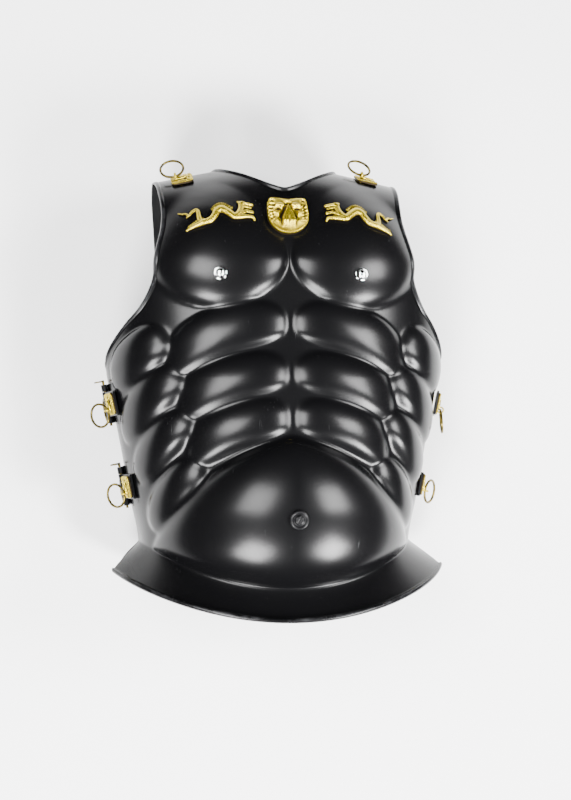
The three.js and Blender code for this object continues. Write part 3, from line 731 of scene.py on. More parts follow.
# ------------------------------------------------------------------ the form of the body
@dataclass(frozen=True)
class BodySections:
    """Half width, depth of chest and back, and squareness of the body by height."""

    y: tuple = (-260, -156, -110, -40, 20, 60, 110, 150, 200, 300)
    half_width: tuple = (150, 152, 161, 174, 186, 190, 182, 172, 168, 168)
    chest: tuple = (114, 114, 116, 116, 110, 104, 100, 99, 99, 99)
    back: tuple = (84, 82, 84, 92, 98, 102, 102, 102, 101, 100)
    square: tuple = (2.0, 2.0, 2.0, 2.0, 2.0, 2.1, 2.4, 2.7, 2.8, 2.8)

    def at(self, column: str, y: Array) -> Array:
        """Return a column's smooth value at heights y.

        Args:
            column: Name of the column.
            y: Heights.

        Returns:
            The values.
        """
        keys = np.array(self.y, float)
        values = np.array(getattr(self, column), float)
        last = len(keys) - 1
        i = np.clip(np.searchsorted(keys, y, side="left") - 1, 0, last - 1)
        span = keys[i + 1] - keys[i]
        t = np.clip((y - keys[i]) / span, 0.0, 1.0)
        slopes = np.zeros(last + 1)
        slopes[1:last] = (values[2:] - values[:-2]) / (keys[2:] - keys[:-2])
        start = values[i] * (1 + 2 * t) * (1 - t) ** 2
        end = values[i + 1] * t**2 * (3 - 2 * t)
        return start + end + span * (slopes[i] * t * (1 - t) ** 2 - slopes[i + 1] * t**2 * (1 - t))

    def around(self, x: Array, y: Array) -> Array:
        """Return the distance round the body from the centre line to the point x at height y.

        Args:
            x: Places across, in millimetres.
            y: Heights, in millimetres.

        Returns:
            The distance round the body from the centre line to the point x at height y.
        """
        width = self.at("half_width", y)
        depth = self.at("chest", y)
        size = np.sqrt((width**2 + depth**2) / 2)
        oval = (width**2 - depth**2) / (width**2 + depth**2)
        angle = np.arcsin(np.clip(x / width, -1, 1))
        return size * (angle + oval / 4 * np.sin(2 * angle))


@dataclass(frozen=True)
class Crown:
    """Curve of both plates over the shoulders, and the seam where they meet."""

    bend_y: float = 110.0
    length: float = 192.0
    power: float = 2.1
    neck_x: float = 66.0
    shoulder_x: float = 137.0

    def seam_y(self, x: Array) -> Array:
        """Return the height of the shoulder seam above the point x."""
        return 270 - 0.21 * np.hypot(x, 20)


@dataclass(frozen=True)
class PlateForm:
    """Plain form of one plate, before it is embossed.

    A place on it is given by p, the angle round the body from the centre line in quarter turns,
    and q, the height, which above the bend is measured along the sheet up to the shoulder seam.
    """

    depth: str
    out: float
    tip_angle: float
    crease_drop: float
    rim_side: float
    rim_drop: float
    flare_front: float
    flare_side: float
    neck_y: float
    neck_rise: float
    arm_x: tuple
    arm_y: tuple = (52, 67, 83, 99, 122, 152, 182, 205, 226)
    waist_y: float = -155.0
    armpit_y: float = 35.0
    sections: BodySections = BodySections()
    crown: Crown = Crown()

    def crease_y(self, angle: Array) -> Array:
        """Return the height of the waist crease at an angle round the body."""
        return self.waist_y - self.crease_drop * np.cos(angle) ** 2

    def rim_y(self, angle: Array) -> Array:
        """Return the height of the flange's rim at an angle round the body."""
        return self.rim_side - self.rim_drop * np.abs(np.cos(angle)) ** 1.5

    def point(self, p: Array, q: Array) -> Array:
        """Return points of the plain plate.

        Args:
            p: Angles in quarter turns.
            q: Heights along the sheet.

        Returns:
            Points, with the three coordinates on the last axis.
        """
        angle = p * math.pi / 2
        crown = np.clip((q - self.crown.bend_y) / self.crown.length, 0, 1) * math.pi / 2
        y = np.minimum(q, self.crown.bend_y)
        x = self.sections.at("half_width", y) * np.sin(angle)
        for _ in range(4):
            raised = self.crown.bend_y + (self.crown.seam_y(x) - self.crown.bend_y) * np.sin(crown)
            y = np.where(crown > 0, raised, y)
            x = self.sections.at("half_width", y) * np.sin(angle)
        square = self.sections.at("square", y)
        side = round_off(np.abs(np.sin(angle)), square)
        z = self.sections.at(self.depth, y) * round_off(np.sin(crown), self.crown.power) * side
        crease = self.crease_y(angle)
        below = np.clip((crease - q) / (crease - self.rim_y(angle)), 0, None)
        flare = mix(self.flare_front, self.flare_side, np.sin(angle) ** 2) * below**1.3
        return np.stack([x + flare * np.sin(angle), y, self.out * (z + flare * np.cos(angle))], -1)

    def normal(self, p: Array, q: Array) -> Array:
        """Return outward directions of the plain plate at p, q.

        Args:
            p: Angles round the body, in quarter turns.
            q: Heights along the sheet.

        Returns:
            Outward directions of the plain plate at p, q.
        """
        step = 0.004
        a = self.point(np.minimum(p + step, 1), q) - self.point(np.maximum(p - step, -1), q)
        b = self.point(p, q + 1) - self.point(p, q - 1)
        return unit(np.cross(a, b) * self.out)

    def place(self, x: Array, y: Array) -> tuple:
        """Return p and q of the points seen from the front at x, y.

        Args:
            x: Places across, in millimetres.
            y: Heights, in millimetres.

        Returns:
            P and q of the points seen from the front at x, y.
        """
        width = self.sections.at("half_width", y)
        p = np.arcsin(np.clip(x / width, -1, 1)) / (math.pi / 2)
        bend = self.crown.bend_y
        rise = np.clip((y - bend) / (self.crown.seam_y(x) - bend), 0, 1)
        q = np.where(y <= bend, y, bend + self.crown.length * np.arcsin(rise) / (math.pi / 2))
        return p, q

    def neck_q(self, u: Array) -> Array:
        """Return the height of the neck edge at fraction u of its half width.

        Args:
            u: Fractions of the half width of the neck.

        Returns:
            The height of the neck edge at fraction u of its half width.
        """
        x = self.crown.neck_x * np.minimum(u, 1.0)
        q = self.place(x, self.neck_y + self.neck_rise * np.hypot(x, 4.0))[1]
        return np.where(u >= 1.0, self.crown.bend_y + self.crown.length, q)


@dataclass(frozen=True)
class RibPad:
    """Pad of the belly wall, bending down and widening outward about a parabolic spine."""

    middle: float
    half_length: float
    spine_y: float
    bend: float
    half_width: float
    height: float


@dataclass(frozen=True)
class SideMuscle:
    """Slanting muscle of the side, fuller at its upper tip."""

    s: float
    y: float
    half_length: float
    half_width: float
    slope: float
    height: float = 8.0
    tip_height: float = 10.5


@dataclass(frozen=True)
class Musculature:
    """Embossing of the breastplate, as heights over the plain plate."""

    sections: BodySections = BodySections()
    rib_pads: tuple = (
        RibPad(69, 65, 83, 0.0022, 23, 9),
        RibPad(62, 58, 30, 0.0022, 22, 9),
        RibPad(58, 54, -18, 0.0028, 22, 9),
    )
    side_muscles: tuple = (
        SideMuscle(174, 44, 48, 26, 33),
        SideMuscle(163, -5, 56, 24, 40),
        SideMuscle(149, -50, 51, 22, 43),
        SideMuscle(132, -101, 49, 22, 47),
    )
    crease_blend: float = 1.6
    pad_spread: float = 0.07

    @staticmethod
    def dome(f: Array, squareness: float) -> Array:
        """Return a dome over the unit outline f = 1, round on top and steep at the edge.

        Args:
            f: Distances from the middle, 1 on the outline.
            squareness: Power of the superellipse.

        Returns:
            A dome over the unit outline f = 1, round on top and steep at the edge.
        """
        inside = np.clip(f, 0, 1)
        return np.where(f < 1, (1 - inside ** (2 / squareness)) ** 0.6, 0.0)

    def pad(self, form: RibPad, s: Array, y: Array) -> Array:
        """Return the height of a rib pad.

        Args:
            form: Measures of the pad.
            s: Distances round the body from the centre line.
            y: Heights, in millimetres.

        Returns:
            The height of a rib pad.
        """
        square = 3.0
        along = np.abs((s - form.middle) / form.half_length)
        v = (y - form.spine_y + form.bend * s * s) / (form.half_width + self.pad_spread * s)
        across = np.abs(v + 0.10 * np.clip(1 - v * v, 0, 1))
        return form.height * self.dome(along**square + across**square, square)

    def side(self, form: SideMuscle, s: Array, y: Array) -> Array:
        """Return the height of a side muscle.

        Args:
            form: Measures of the muscle.
            s: Distances round the body from the centre line.
            y: Heights, in millimetres.

        Returns:
            The height of a side muscle.
        """
        c, d = math.cos(math.radians(form.slope)), math.sin(math.radians(form.slope))
        along = ((s - form.s) * c - (y - form.y) * d) / form.half_length
        outer = smooth(along + 0.5)
        square, height = mix(2.7, 2.3, outer), mix(form.tip_height, form.height, outer)
        along = np.abs(along)
        v = ((s - form.s) * d + (y - form.y) * c) / form.half_width
        across = np.abs(v + 0.10 * np.clip(1 - v * v, 0, 1))
        return height * self.dome(along**square + across**square, square)

    def pectoral(self, s: Array, y: Array) -> Array:
        """Return the height of a breast muscle.

        Args:
            s: Distances round the body from the centre line.
            y: Heights, in millimetres.

        Returns:
            The height of a breast muscle.
        """
        above = y > 150
        across = np.abs((s - 78) / 76) ** 1.85
        f = across + np.abs((y - 150) / np.where(above, 85, 53)) ** 1.85
        softness = np.where(above, mix(0.55, 1.5, np.clip((y - 150) / 60, 0, 1)), 0.55)
        return np.where(f < 1, 15 * (1 - np.clip(f, 0, 1)) ** softness, 0.0)

    def belly(self, s: Array, y: Array, form: PlateForm, angle: Array) -> Array:
        """Return the height of the belly, between a pointed arch and the waist.

        Args:
            s: Distances round the body from the centre line.
            y: Heights, in millimetres.
            form: The plain plate.
            angle: Angles round the body, in radians.

        Returns:
            The height of the belly, between a pointed arch and the waist.
        """
        top = -39 - 0.15 * s - 0.0035 * s * s
        bottom = form.crease_y(angle)
        half = np.maximum((top - bottom) / 2, 1.0)
        full = (-39 - form.crease_y(np.zeros(1))) / 2
        v = np.clip((y - bottom - half) / half, -1, 1)
        lean = np.abs(v + 0.12 * (1 - v * v))
        return 33 * (1 - lean**2.2) ** 0.62 * np.minimum(half / full, 1) * (top - bottom > 2)

    def height(self, x: Array, y: Array, form: PlateForm, p: Array) -> Array:
        """Return the height of the embossing.

        Args:
            x: Places across the plain plate.
            y: Heights on it.
            form: The plate.
            p: Angles round the body, in quarter turns.

        Returns:
            Heights in millimetres.
        """
        s = np.abs(self.sections.around(x, y))
        forms = [self.pectoral(s, y), self.belly(s, y, form, np.abs(p) * math.pi / 2)]
        forms += [self.pad(pad, s, y) for pad in self.rib_pads]
        forms += [self.side(muscle, s, y) for muscle in self.side_muscles]
        return np.maximum.reduce(forms)


# ------------------------------------------------------------------ the plates
@dataclass
class Plate:
    """One plate: its form, its embossing and the rolled edges, with the mesh of both faces."""

    form: PlateForm
    body: Body
    muscles: Optional[Musculature]
    columns: int
    flange_rows: int
    seam_rows: int
    arm_rows: int
    shoulder_rows: int
    sheet: float = 1.4
    seam_gap: float = 0.5
    bead_height: float = 2.2
    bead_width: float = 5.0

    def relief(self, points: Array, p: Array) -> Array:
        """Return the embossing over plain points.

        Args:
            points: Points in the armourer's frame.
            p: Angles round the body, in quarter turns.

        Returns:
            The embossing over plain points.
        """
        if self.muscles is None:
            return np.zeros(points.shape[:-1])
        return self.muscles.height(points[..., 0], points[..., 1], self.form, p)

    def surface(self, p: Array, q: Array, lift: Array = 0.0) -> tuple:
        """Return points of the outer face and their outward directions.

        Args:
            p: Angles round the body.
            q: Heights along the sheet.
            lift: Distance off the face.

        Returns:
            Points and directions.
        """
        points = self.form.point(p, q)
        normals = self.form.normal(p, q)
        around = ((3, 0, 0), (-3, 0, 0), (0, 3, 0), (0, -3, 0))
        relief = (
            sum(self.relief(points + step, p) for step in around) + 2 * self.relief(points, p)
        ) / 6
        return points + normals * (relief + lift)[..., None], normals

    def edge_steps(self) -> Array:
        """Return distances from an edge that follow the round of its bead.

        Returns:
            Distances from an edge that follow the round of its bead.
        """
        turn = np.linspace(0, math.pi, 9)
        return self.bead_width / 2 * (1 - np.cos(turn))

    def row_table(self) -> dict:
        """Return the rows as arrays: end place, height at the centre, flange share, neck, roll.

        Returns:
            The rows as arrays: end place, height at the centre, flange share, neck, roll.
        """
        form, crown = self.form, self.form.crown
        top = crown.bend_y + crown.length
        armpit_x = form.sections.at("half_width", np.array(form.armpit_y))
        seam_q = form.place(np.array([armpit_x]), np.array([form.armpit_y]))[1]
        arm_p, arm_q = form.place(np.array(form.arm_x, float), np.array(form.arm_y, float))
        shoulder_x = np.array([crown.shoulder_x])
        end_p = form.place(shoulder_x, crown.seam_y(shoulder_x))[0]
        keys = np.stack([np.r_[1.0, arm_p, end_p], np.r_[seam_q, arm_q, top]], -1)
        notch = float(form.neck_q(np.zeros(1))[0])
        crease, seam_top, shoulder = float(form.crease_y(np.zeros(1))[0]), 20.0, notch - 26
        t = np.unique(np.r_[self.edge_steps() / 34, np.linspace(0.17, 0.97, self.flange_rows)])
        tip = form.tip_angle / 90
        blocks = [(mix(tip, 1.0, t), 0 * t, 0 * t, t, 0 * t, 0 * t)]
        t = np.linspace(0, 1, self.seam_rows)
        blocks.append((
            1 + 0 * t, mix(form.waist_y, form.armpit_y, t), mix(crease, seam_top, t),
            -1 + 0 * t, 0 * t, 0 * t,
        ))
        t = np.linspace(0, 1, self.arm_rows + 1)[1:]
        arm = self.spline(keys, t)
        roll = np.clip(np.minimum(t, 1 - t) * 12, 0, 1)
        blocks.append((arm[:, 0], arm[:, 1], mix(seam_top, shoulder, t), -1 + 0 * t, 0 * t, roll))
        even = np.linspace(0.03, 0.86, self.shoulder_rows)
        t = np.unique(np.r_[even, 1 - self.edge_steps() / 40])
        x = mix(crown.shoulder_x, crown.neck_x, t)
        reach = form.place(x, crown.seam_y(np.full_like(x, crown.neck_x)))[0]
        blocks.append((reach, top + 0 * t, mix(shoulder, notch, t), -1 + 0 * t, t, 0 * t))
        names = ("end_p", "end_q", "centre", "flange", "neck", "roll")
        return {
            name: np.concatenate([block[k] for block in blocks]) for k, name in enumerate(names)
        }

    @staticmethod
    def spline(keys: Array, t: Array) -> Array:
        """Return points of a Catmull-Rom curve through keys at fractions t.

        Args:
            keys: Points to pass through.
            t: Fractions of the way along.

        Returns:
            Points of a Catmull-Rom curve through keys at fractions t.
        """
        ends = np.vstack([keys[:1], keys, keys[-1:]])
        place = t * (len(keys) - 1)
        i = np.minimum(place.astype(int), len(keys) - 2)
        w = (place - i)[:, None]
        a, b, c, d = ends[i], ends[i + 1], ends[i + 2], ends[i + 3]
        v0, v1 = (c - a) * 0.5, (d - b) * 0.5
        return (2 * b - 2 * c + v0 + v1) * w**3 + (-3 * b + 3 * c - 2 * v0 - v1) * w**2 + v0 * w + b

    def places(self) -> tuple:
        """Return p and q of every point of the grid, with the roll of each row.

        Returns:
            P and q of every point of the grid, with the roll of each row.
        """
        rows = self.row_table()
        half = 250 * rows["end_p"]
        even = np.linspace(0, 1, self.columns)
        inner = (1 - self.bead_width / half)[:, None] * mix(even, even**1.3, 0.2)[None, :]
        edge = 1 - self.edge_steps()[::-1][1:][None, :] / half[:, None]
        right = np.concatenate([inner, edge], 1)
        u = np.concatenate([-right[:, :0:-1], right], 1)
        p = rows["end_p"][:, None] * u
        angle = np.abs(p) * math.pi / 2
        u = np.abs(u)
        flange = rows["flange"][:, None]
        hip = mix(self.form.rim_y(angle), self.form.crease_y(angle), flange)
        neck = self.form.neck_q(u)
        low, high = self.form.neck_q(np.zeros(1))[0], self.form.neck_q(np.ones(1))[0]
        round_share = np.sin(u * math.pi / 2) ** 2
        share = mix(round_share, (neck - low) / (high - low), rows["neck"][:, None] ** 2)
        body = mix(rows["centre"][:, None], rows["end_q"][:, None], share)
        return p, np.where(flange >= 0, hip, body), rows

    def roundness(self, distance: Array) -> Array:
        """Return the round of a bead, 1 on its top, at a distance from the edge."""
        return np.sqrt(np.clip(1 - (2 * distance / self.bead_width - 1) ** 2, 0, 1))

    def bead(self, points: Array, rows: dict) -> Array:
        """Return the height of the rolled edges over the grid.

        Args:
            points: Points of the plain grid.
            rows: Table of the rows.

        Returns:
            The height of the rolled edges over the grid.
        """
        along = np.linalg.norm(np.diff(points, axis=0), axis=-1)
        up = np.vstack([np.zeros(points.shape[1]), np.cumsum(along, 0)])
        across = np.linalg.norm(np.diff(points, axis=1), axis=-1)
        right = np.hstack([np.zeros((points.shape[0], 1)), np.cumsum(across, 1)])
        side = np.minimum(right, right[:, -1:] - right)
        ends = np.maximum(self.roundness(up), self.roundness(up[-1:] - up))
        return np.maximum(ends, self.roundness(side) * rows["roll"][:, None])

    def settle(self, points: Array, inset: float) -> Array:
        """Return points kept off the meeting plane and flattened where the back rests.

        Args:
            points: Points in the armourer's frame.
            inset: Distance of the face inside the sheet.

        Returns:
            Points kept off the meeting plane and flattened where the back rests.
        """
        z = np.maximum(points[..., 2] * self.form.out, self.seam_gap)
        if self.form.out < 0:
            z = np.minimum(z, Flange.REST - inset)
        return np.stack([points[..., 0], points[..., 1], self.form.out * z], -1)

    def outer(self) -> Surface:
        """Build the outer face with its rolled edges turned in under the sheet.

        Returns:
            The surface, with "rim" on the rolled edges.
        """
        p, q, rows = self.places()
        plain = self.form.point(p, q)
        normals = self.form.normal(p, q)
        relief = self.relief(plain, p)
        if self.muscles is not None:
            relief = blurred(relief, self.muscles.crease_blend)
        bead = self.bead(plain, rows)
        points = plain + normals * (relief + self.bead_height * bead)[..., None]
        inner = plain + normals * (relief - self.sheet)[..., None]
        points, inner = self.settle(points, 0), self.settle(inner, self.sheet)
        full = np.pad(points, ((2, 2), (2, 2), (0, 0)), mode="edge")
        under = np.pad(inner, ((2, 2), (2, 2), (0, 0)), mode="edge")
        full[1, 2:-2], full[-2, 2:-2] = inner[0], inner[-1]
        full[2:-2, 1], full[2:-2, -2] = inner[:, 0], inner[:, -1]
        full[0, 2:-2], full[-1, 2:-2] = inner[3], inner[-4]
        full[2:-2, 0], full[2:-2, -1] = inner[:, 3], inner[:, -4]
        for j, i in ((slice(0, 2), slice(0, 2)), (slice(0, 2), slice(-2, None)),
                     (slice(-2, None), slice(0, 2)), (slice(-2, None), slice(-2, None))):
            full[j, i] = under[j, i]
        rim = np.pad(bead, 2, mode="edge")
        count = full.shape[:2]
        faces = grid_faces(count[0], count[1], flip=self.form.out < 0)
        return Surface(full.reshape(-1, 3), faces, {"rim": rim.ravel()})

    def inside(self, step: int) -> Surface:
        """Build the inner face.

        Args:
            step: Take every such row and column of the outer grid.

        Returns:
            The surface.
        """
        p, q, _ = self.places()
        p, q = p[2:-2:step, 2:-2:step], q[2:-2:step, 2:-2:step]
        points, normals = self.surface(p, q, -self.sheet - 0.05)
        points = self.settle(points, self.sheet + 0.05)
        faces = grid_faces(points.shape[0], points.shape[1], flip=self.form.out > 0)
        return Surface(points.reshape(-1, 3), faces)

    def build(self, shop: Workshop) -> None:
        """Build both faces of the plate and dress them.

        Args:
            shop: Workshop that makes the pieces.
        """
        name = self.body.value
        finishes, slot = shop.finishes, "black_steel"
        shop.make(f"{name}_sheet", self.outer(), finishes.black, self.body, (name,))
        shop.make(f"{name}_inside", self.inside(3), finishes.inside, self.body)

    def spot(self, p: float, q: float) -> Array:
        """Return one point of the outer face."""
        return self.surface(np.array([p]), np.array([q]))[0][0]

    def frame_at(self, p: float, q: float) -> tuple:
        """Return a point of the plate with the directions across, along and out.

        Args:
            p: Angles round the body, in quarter turns.
            q: Heights along the sheet.

        Returns:
            A point of the plate with the directions across, along and out.
        """
        point, normal = (value[0] for value in self.surface(np.array([p]), np.array([q])))
        across = self.spot(p + 0.02, q) - self.spot(p - 0.02, q)
        along = unit(self.spot(p, q + 4) - self.spot(p, q - 4))
        out = unit(np.cross(across, along))
        if np.dot(out, normal) < 0:
            out = -out
        return point, np.cross(along, out), along, out


class Pattern:
    """Measures of the two plates."""

    BREAST = PlateForm(
        depth="chest", out=1.0, tip_angle=76, crease_drop=40, rim_side=-178, rim_drop=51,
        flare_front=20, flare_side=40, neck_y=227, neck_rise=0.43,
        arm_x=(187, 180, 169, 156, 144.5, 138.5, 133, 132, 134),
    )
    BACK = PlateForm(
        depth="back", out=-1.0, tip_angle=68, crease_drop=15, rim_side=-180, rim_drop=38,
        flare_front=20, flare_side=38, neck_y=238, neck_rise=0.26,
        arm_x=(183, 170, 155, 140, 129, 126, 128, 131, 134),
        arm_y=(52, 67, 83, 99, 122, 150, 178, 205, 226),
    )


# ------------------------------------------------------------------ relief castings
@dataclass
class Relief:
    """Casting given over a plane by its outline and the height of its face."""

    half_x: float
    half_y: float
    step: float
    edge: float
    outline: Callable[[Array, Array], Array]
    height: Callable[[Array, Array], Array]
    # Depth of a hollow that is painted in full shade.
    hollow_depth: float = 0.5
    skirt: float = -0.45

    def surface(self) -> Surface:
        """Build the face and its edge wall.

        Returns:
            The surface over the plane, with a mask of painted shade where the face lies below its
            surroundings, on its rim and on its edge wall.
        """
        nx, ny = (int(2 * half / self.step) + 1 for half in (self.half_x, self.half_y))
        places_x = np.linspace(-self.half_x, self.half_x, nx)
        places_y = np.linspace(-self.half_y, self.half_y, ny)
        x, y = np.meshgrid(places_x, places_y)
        inside = self.outline(x, y) < 0.45 * self.step
        kept = inside[:-1, :-1] & inside[1:, :-1] & inside[:-1, 1:] & inside[1:, 1:]
        around = np.pad(kept, 1).astype(int)
        cells = around[:-1, :-1] + around[1:, :-1] + around[:-1, 1:] + around[1:, 1:]
        rim = (cells > 0) & (cells < 4)
        for _ in range(3):
            e = 0.2
            d = self.outline(x[rim], y[rim])
            gx = (self.outline(x[rim] + e, y[rim]) - self.outline(x[rim] - e, y[rim])) / (2 * e)
            gy = (self.outline(x[rim], y[rim] + e) - self.outline(x[rim], y[rim] - e)) / (2 * e)
            size = np.maximum(gx**2 + gy**2, 0.2)
            x[rim] -= np.clip(d * gx / size, -self.step, self.step)
            y[rim] -= np.clip(d * gy / size, -self.step, self.step)
        z = np.maximum(self.height(x, y), self.edge)
        z[rim] = self.edge
        # Painted shade: hollows, where the face lies below its blurred surroundings, are painted
        # darker, and the rim of the casting a little darker too.
        hollow = np.clip((blurred(z, 1.0 / self.step) - z) / self.hollow_depth, 0, 1)
        hollow = np.maximum(hollow, 0.55 * rim)
        number = np.arange(nx * ny).reshape(ny, nx)
        quads = np.stack([
            number[:-1, :-1], number[:-1, 1:], number[1:, 1:], number[1:, :-1],
        ], -1)[kept]
        low = np.where(rim, nx * ny + number, -1)
        skirt = self.walls(kept, number, low)
        top = np.stack([x, y, z], -1).reshape(-1, 3)
        bottom = top.copy()
        bottom[:, 2] = self.skirt
        points = np.vstack([top, bottom])
        # Painted shade: the points of the edge wall below the rim are painted almost fully dark, as
        # if in the casting's own shadow.
        shade_down = np.concatenate([hollow.ravel(), np.full(nx * ny, 0.9)])
        faces = np.vstack([quads, skirt])
        used = np.unique(faces)
        renumber = np.full(len(points), -1)
        renumber[used] = np.arange(len(used))
        return Surface(points[used], renumber[faces], {"hollow": shade_down[used]})

    @staticmethod
    def walls(kept: Array, number: Array, low: Array) -> Array:
        """Return the quads of the edge wall, down from the rim of the kept cells.

        Args:
            kept: Cells that belong to the casting.
            number: Number of each point of the grid.
            low: Number of the point below each point of the rim.

        Returns:
            The quads of the edge wall, down from the rim of the kept cells.
        """
        grown = np.pad(kept, 1)
        found = []
        sides = (
            (kept & ~grown[:-2, 1:-1], (0, 1), (0, 0)),
            (kept & ~grown[2:, 1:-1], (1, 0), (1, 1)),
            (kept & ~grown[1:-1, :-2], (0, 0), (1, 0)),
            (kept & ~grown[1:-1, 2:], (1, 1), (0, 1)),
        )
        for open_side, (j0, i0), (j1, i1) in sides:
            j, i = np.nonzero(open_side)
            a, b = (j + j0, i + i0), (j + j1, i + i1)
            found.append(np.stack([number[a], number[b], low[b], low[a]], -1))
        return np.vstack(found)


def capsule(x: Array, y: Array, start: Sequence[float], end: Sequence[float]) -> tuple:
    """Measure points against a tapering bar.

    Args:
        x: Places across.
        y: Places up.
        start: x, y and radius at one end.
        end: x, y and radius at the other.

    Returns:
        Distance from the centre line, radius there, and share of the way along.
    """
    ax, ay, ar = start
    bx, by, br = end
    length = max((bx - ax) ** 2 + (by - ay) ** 2, 1e-9)
    t = np.clip(((x - ax) * (bx - ax) + (y - ay) * (by - ay)) / length, 0, 1)
    return np.hypot(x - ax - t * (bx - ax), y - ay - t * (by - ay)), ar + t * (br - ar), t


@dataclass
class SeaDragon:
    """Sea dragon cast in brass: scaled body, comb on its back, two forelegs and a forked tail."""

    plate: Plate
    left_x: float = -75.0
    right_x: float = 79.0
    y: float = 190.5
    size: float = 0.94
    gap: float = 1.0
    thickness: float = 4.2
    spine: tuple = (
        (28.0, 14.6, 3.4), (27.3, 9.0, 3.3), (26.3, 5.6, 3.5),
        (23.8, 1.2, 3.8), (19.3, -1.4, 3.9), (13.4, 3.0, 4.3),
        (6.2, 7.2, 4.3), (0.9, 4.2, 3.9), (-2.1, -1.8, 3.7), (-6.9, -7.1, 3.5), (-14.1, -8.9, 3.2),
        (-17.6, -5.9, 2.7), (-18.8, -0.6, 2.3), (-19.4, 4.2, 2.1),
        (-21.8, 6.6, 1.9), (-26.0, 4.2, 1.6),
        (-29.0, 0.4, 1.3), (-33.1, 3.0, 1.0), (-36.7, 2.8, 0.8),
    )
    limbs: tuple = (
        ((28.0, 15.2, 3.5), (39.7, 15.4, 1.9)), ((28.6, 13.0, 2.6), (38.0, 11.4, 1.2)),
        ((24.6, 17.8, 1.3), (27.2, 15.0, 2.0)), ((25.3, 1.8, 2.6), (33.0, 6.4, 2.1)),
        ((33.0, 6.4, 2.1), (39.8, 5.6, 1.8)), ((21.7, -2.4, 2.9), (33.0, -0.6, 2.2)),
        ((33.0, -0.6, 2.2), (39.6, -0.4, 1.8)), ((39.6, -0.4, 1.8), (41.4, -3.6, 1.4)),
        ((-14.0, -9.5, 3.4), (-28.9, -16.1, 1.5)), ((-28.9, -16.1, 1.5), (-31.4, -18.0, 1.1)),
        ((-36.0, 2.8, 0.8), (-41.0, 4.6, 0.55)), ((-29.0, 0.4, 1.1), (-31.6, -2.0, 0.6)),
    )
    comb: tuple = (
        (-3.3, 6.4), (-1.6, 9.8), (1.2, 12.6), (5.0, 14.0), (9.0, 13.6), (12.8, 11.6), (16.0, 8.6),
    )

    def curve(self) -> Array:
        """Return the body's centre line and radius in fine steps.

        Returns:
            The body's centre line and radius in fine steps.
        """
        keys = np.array(self.spine)
        return Plate.spline(keys, np.linspace(0, 1, 120))

    def outline(self, x: Array, y: Array) -> Array:
        """Return the distance to the outline, negative inside.

        Args:
            x: Places across, in millimetres.
            y: Heights, in millimetres.

        Returns:
            The distance to the outline, negative inside.
        """
        near = np.full(x.shape, 99.0)
        path = self.curve()
        for a, b in zip(path[:-1:2], path[2::2]):
            d, r, _ = capsule(x, y, a, b)
            near = np.minimum(near, d - r)
        for a, b in self.limbs:
            d, r, _ = capsule(x, y, a, b)
            near = np.minimum(near, d - r)
        return np.minimum(near, self.fans(x, y)[0])

    def fans(self, x: Array, y: Array) -> tuple:
        """Return the distance to the comb and the foot's fin, and their ribbed height.

        Args:
            x: Places across, in millimetres.
            y: Heights, in millimetres.

        Returns:
            The distance to the comb and the foot's fin, and their ribbed height.
        """
        comb = Plate.spline(np.array(self.comb), np.linspace(0, 1, 60))
        near, place = np.full(x.shape, 99.0), np.zeros(x.shape)
        for k, (cx, cy) in enumerate(comb):
            d = np.hypot(x - cx, y - cy)
            place = np.where(d < near, k / 59, place)
            near = np.minimum(near, d)
        teeth = wave(place * 11)
        inner = np.minimum(np.hypot(x - 6.0, y - 4.0) - 8.5, 99)
        web = np.maximum(inner, -(y - 3 + 0.15 * x))
        comb_edge = np.minimum(near - 0.3 - 2.0 * teeth**1.5, web)
        d, _, t = capsule(x, y, (-16.0, -8.0, 2.0), (-29.0, -14.5, 1.0))
        fin_teeth = wave(t * 6)
        fin = d - (1.6 + 2.8 * (1 - t) * (y > -9.5 + 0.46 * (x + 16)) * (0.6 + 0.4 * fin_teeth))
        height = np.where(comb_edge < fin, 1.3 + 0.9 * teeth, 1.3 + 0.8 * fin_teeth)
        return np.minimum(comb_edge, fin), height

    def height(self, x: Array, y: Array) -> Array:
        """Return the height of the face.

        Args:
            x: Places across, in millimetres.
            y: Heights, in millimetres.

        Returns:
            The height of the face.
        """
        fan, ribbed = self.fans(x, y)
        face = np.where(fan < 0.2, ribbed, 0.0)
        path = self.curve()
        along = np.r_[0, np.cumsum(np.hypot(*np.diff(path[:, :2], axis=0).T))]
        best, across, run = np.full(x.shape, -1.0), np.zeros(x.shape), np.zeros(x.shape)
        for k in range(0, len(path) - 2, 2):
            d, r, t = capsule(x, y, path[k], path[k + 2])
            level = 1 - (d / r) ** 2
            run = np.where(level > best, along[k] + t * (along[k + 2] - along[k]), run)
            across = np.where(level > best, d, across)
            radius = np.where(level > best, r, radius) if k else r
            best = np.maximum(best, level)
        body = np.sqrt(np.clip(best, 0, 1)) * np.minimum(self.thickness, radius * 1.15)
        scales = wave(run / 1.5 + 0.5 * np.round(across / 1.1)) * wave(across / 1.1) ** 0.5
        face = np.maximum(face, body + 0.28 * scales * (best > 0.05) * (radius > 1.4))
        for a, b in self.limbs:
            d, r, _ = capsule(x, y, a, b)
            section = np.sqrt(np.clip(1 - (d / r) ** 2, 0, 1))
            limb = section * np.minimum(self.thickness, r * 1.25) + 0.35
            face = np.maximum(face, np.where(d < r, limb, 0))
        eye = 0.7 * bump_at(x, y, 29.6, 16.4, 0.8, 0.8) - 0.9 * bump_at(x, y, 31.4, 16.0, 0.6, 0.6)
        mouth = -1.3 * np.exp(-((y - 13.6 - 0.02 * (x - 33)) / 0.45) ** 2) * smooth((x - 31) / 2)
        toes = -0.6 * wave((y + 2.0) / 1.5) * smooth((x - 39.2) / 1.2) * (y < 0)
        return face + (eye + mouth + toes) * (face > 1.0)

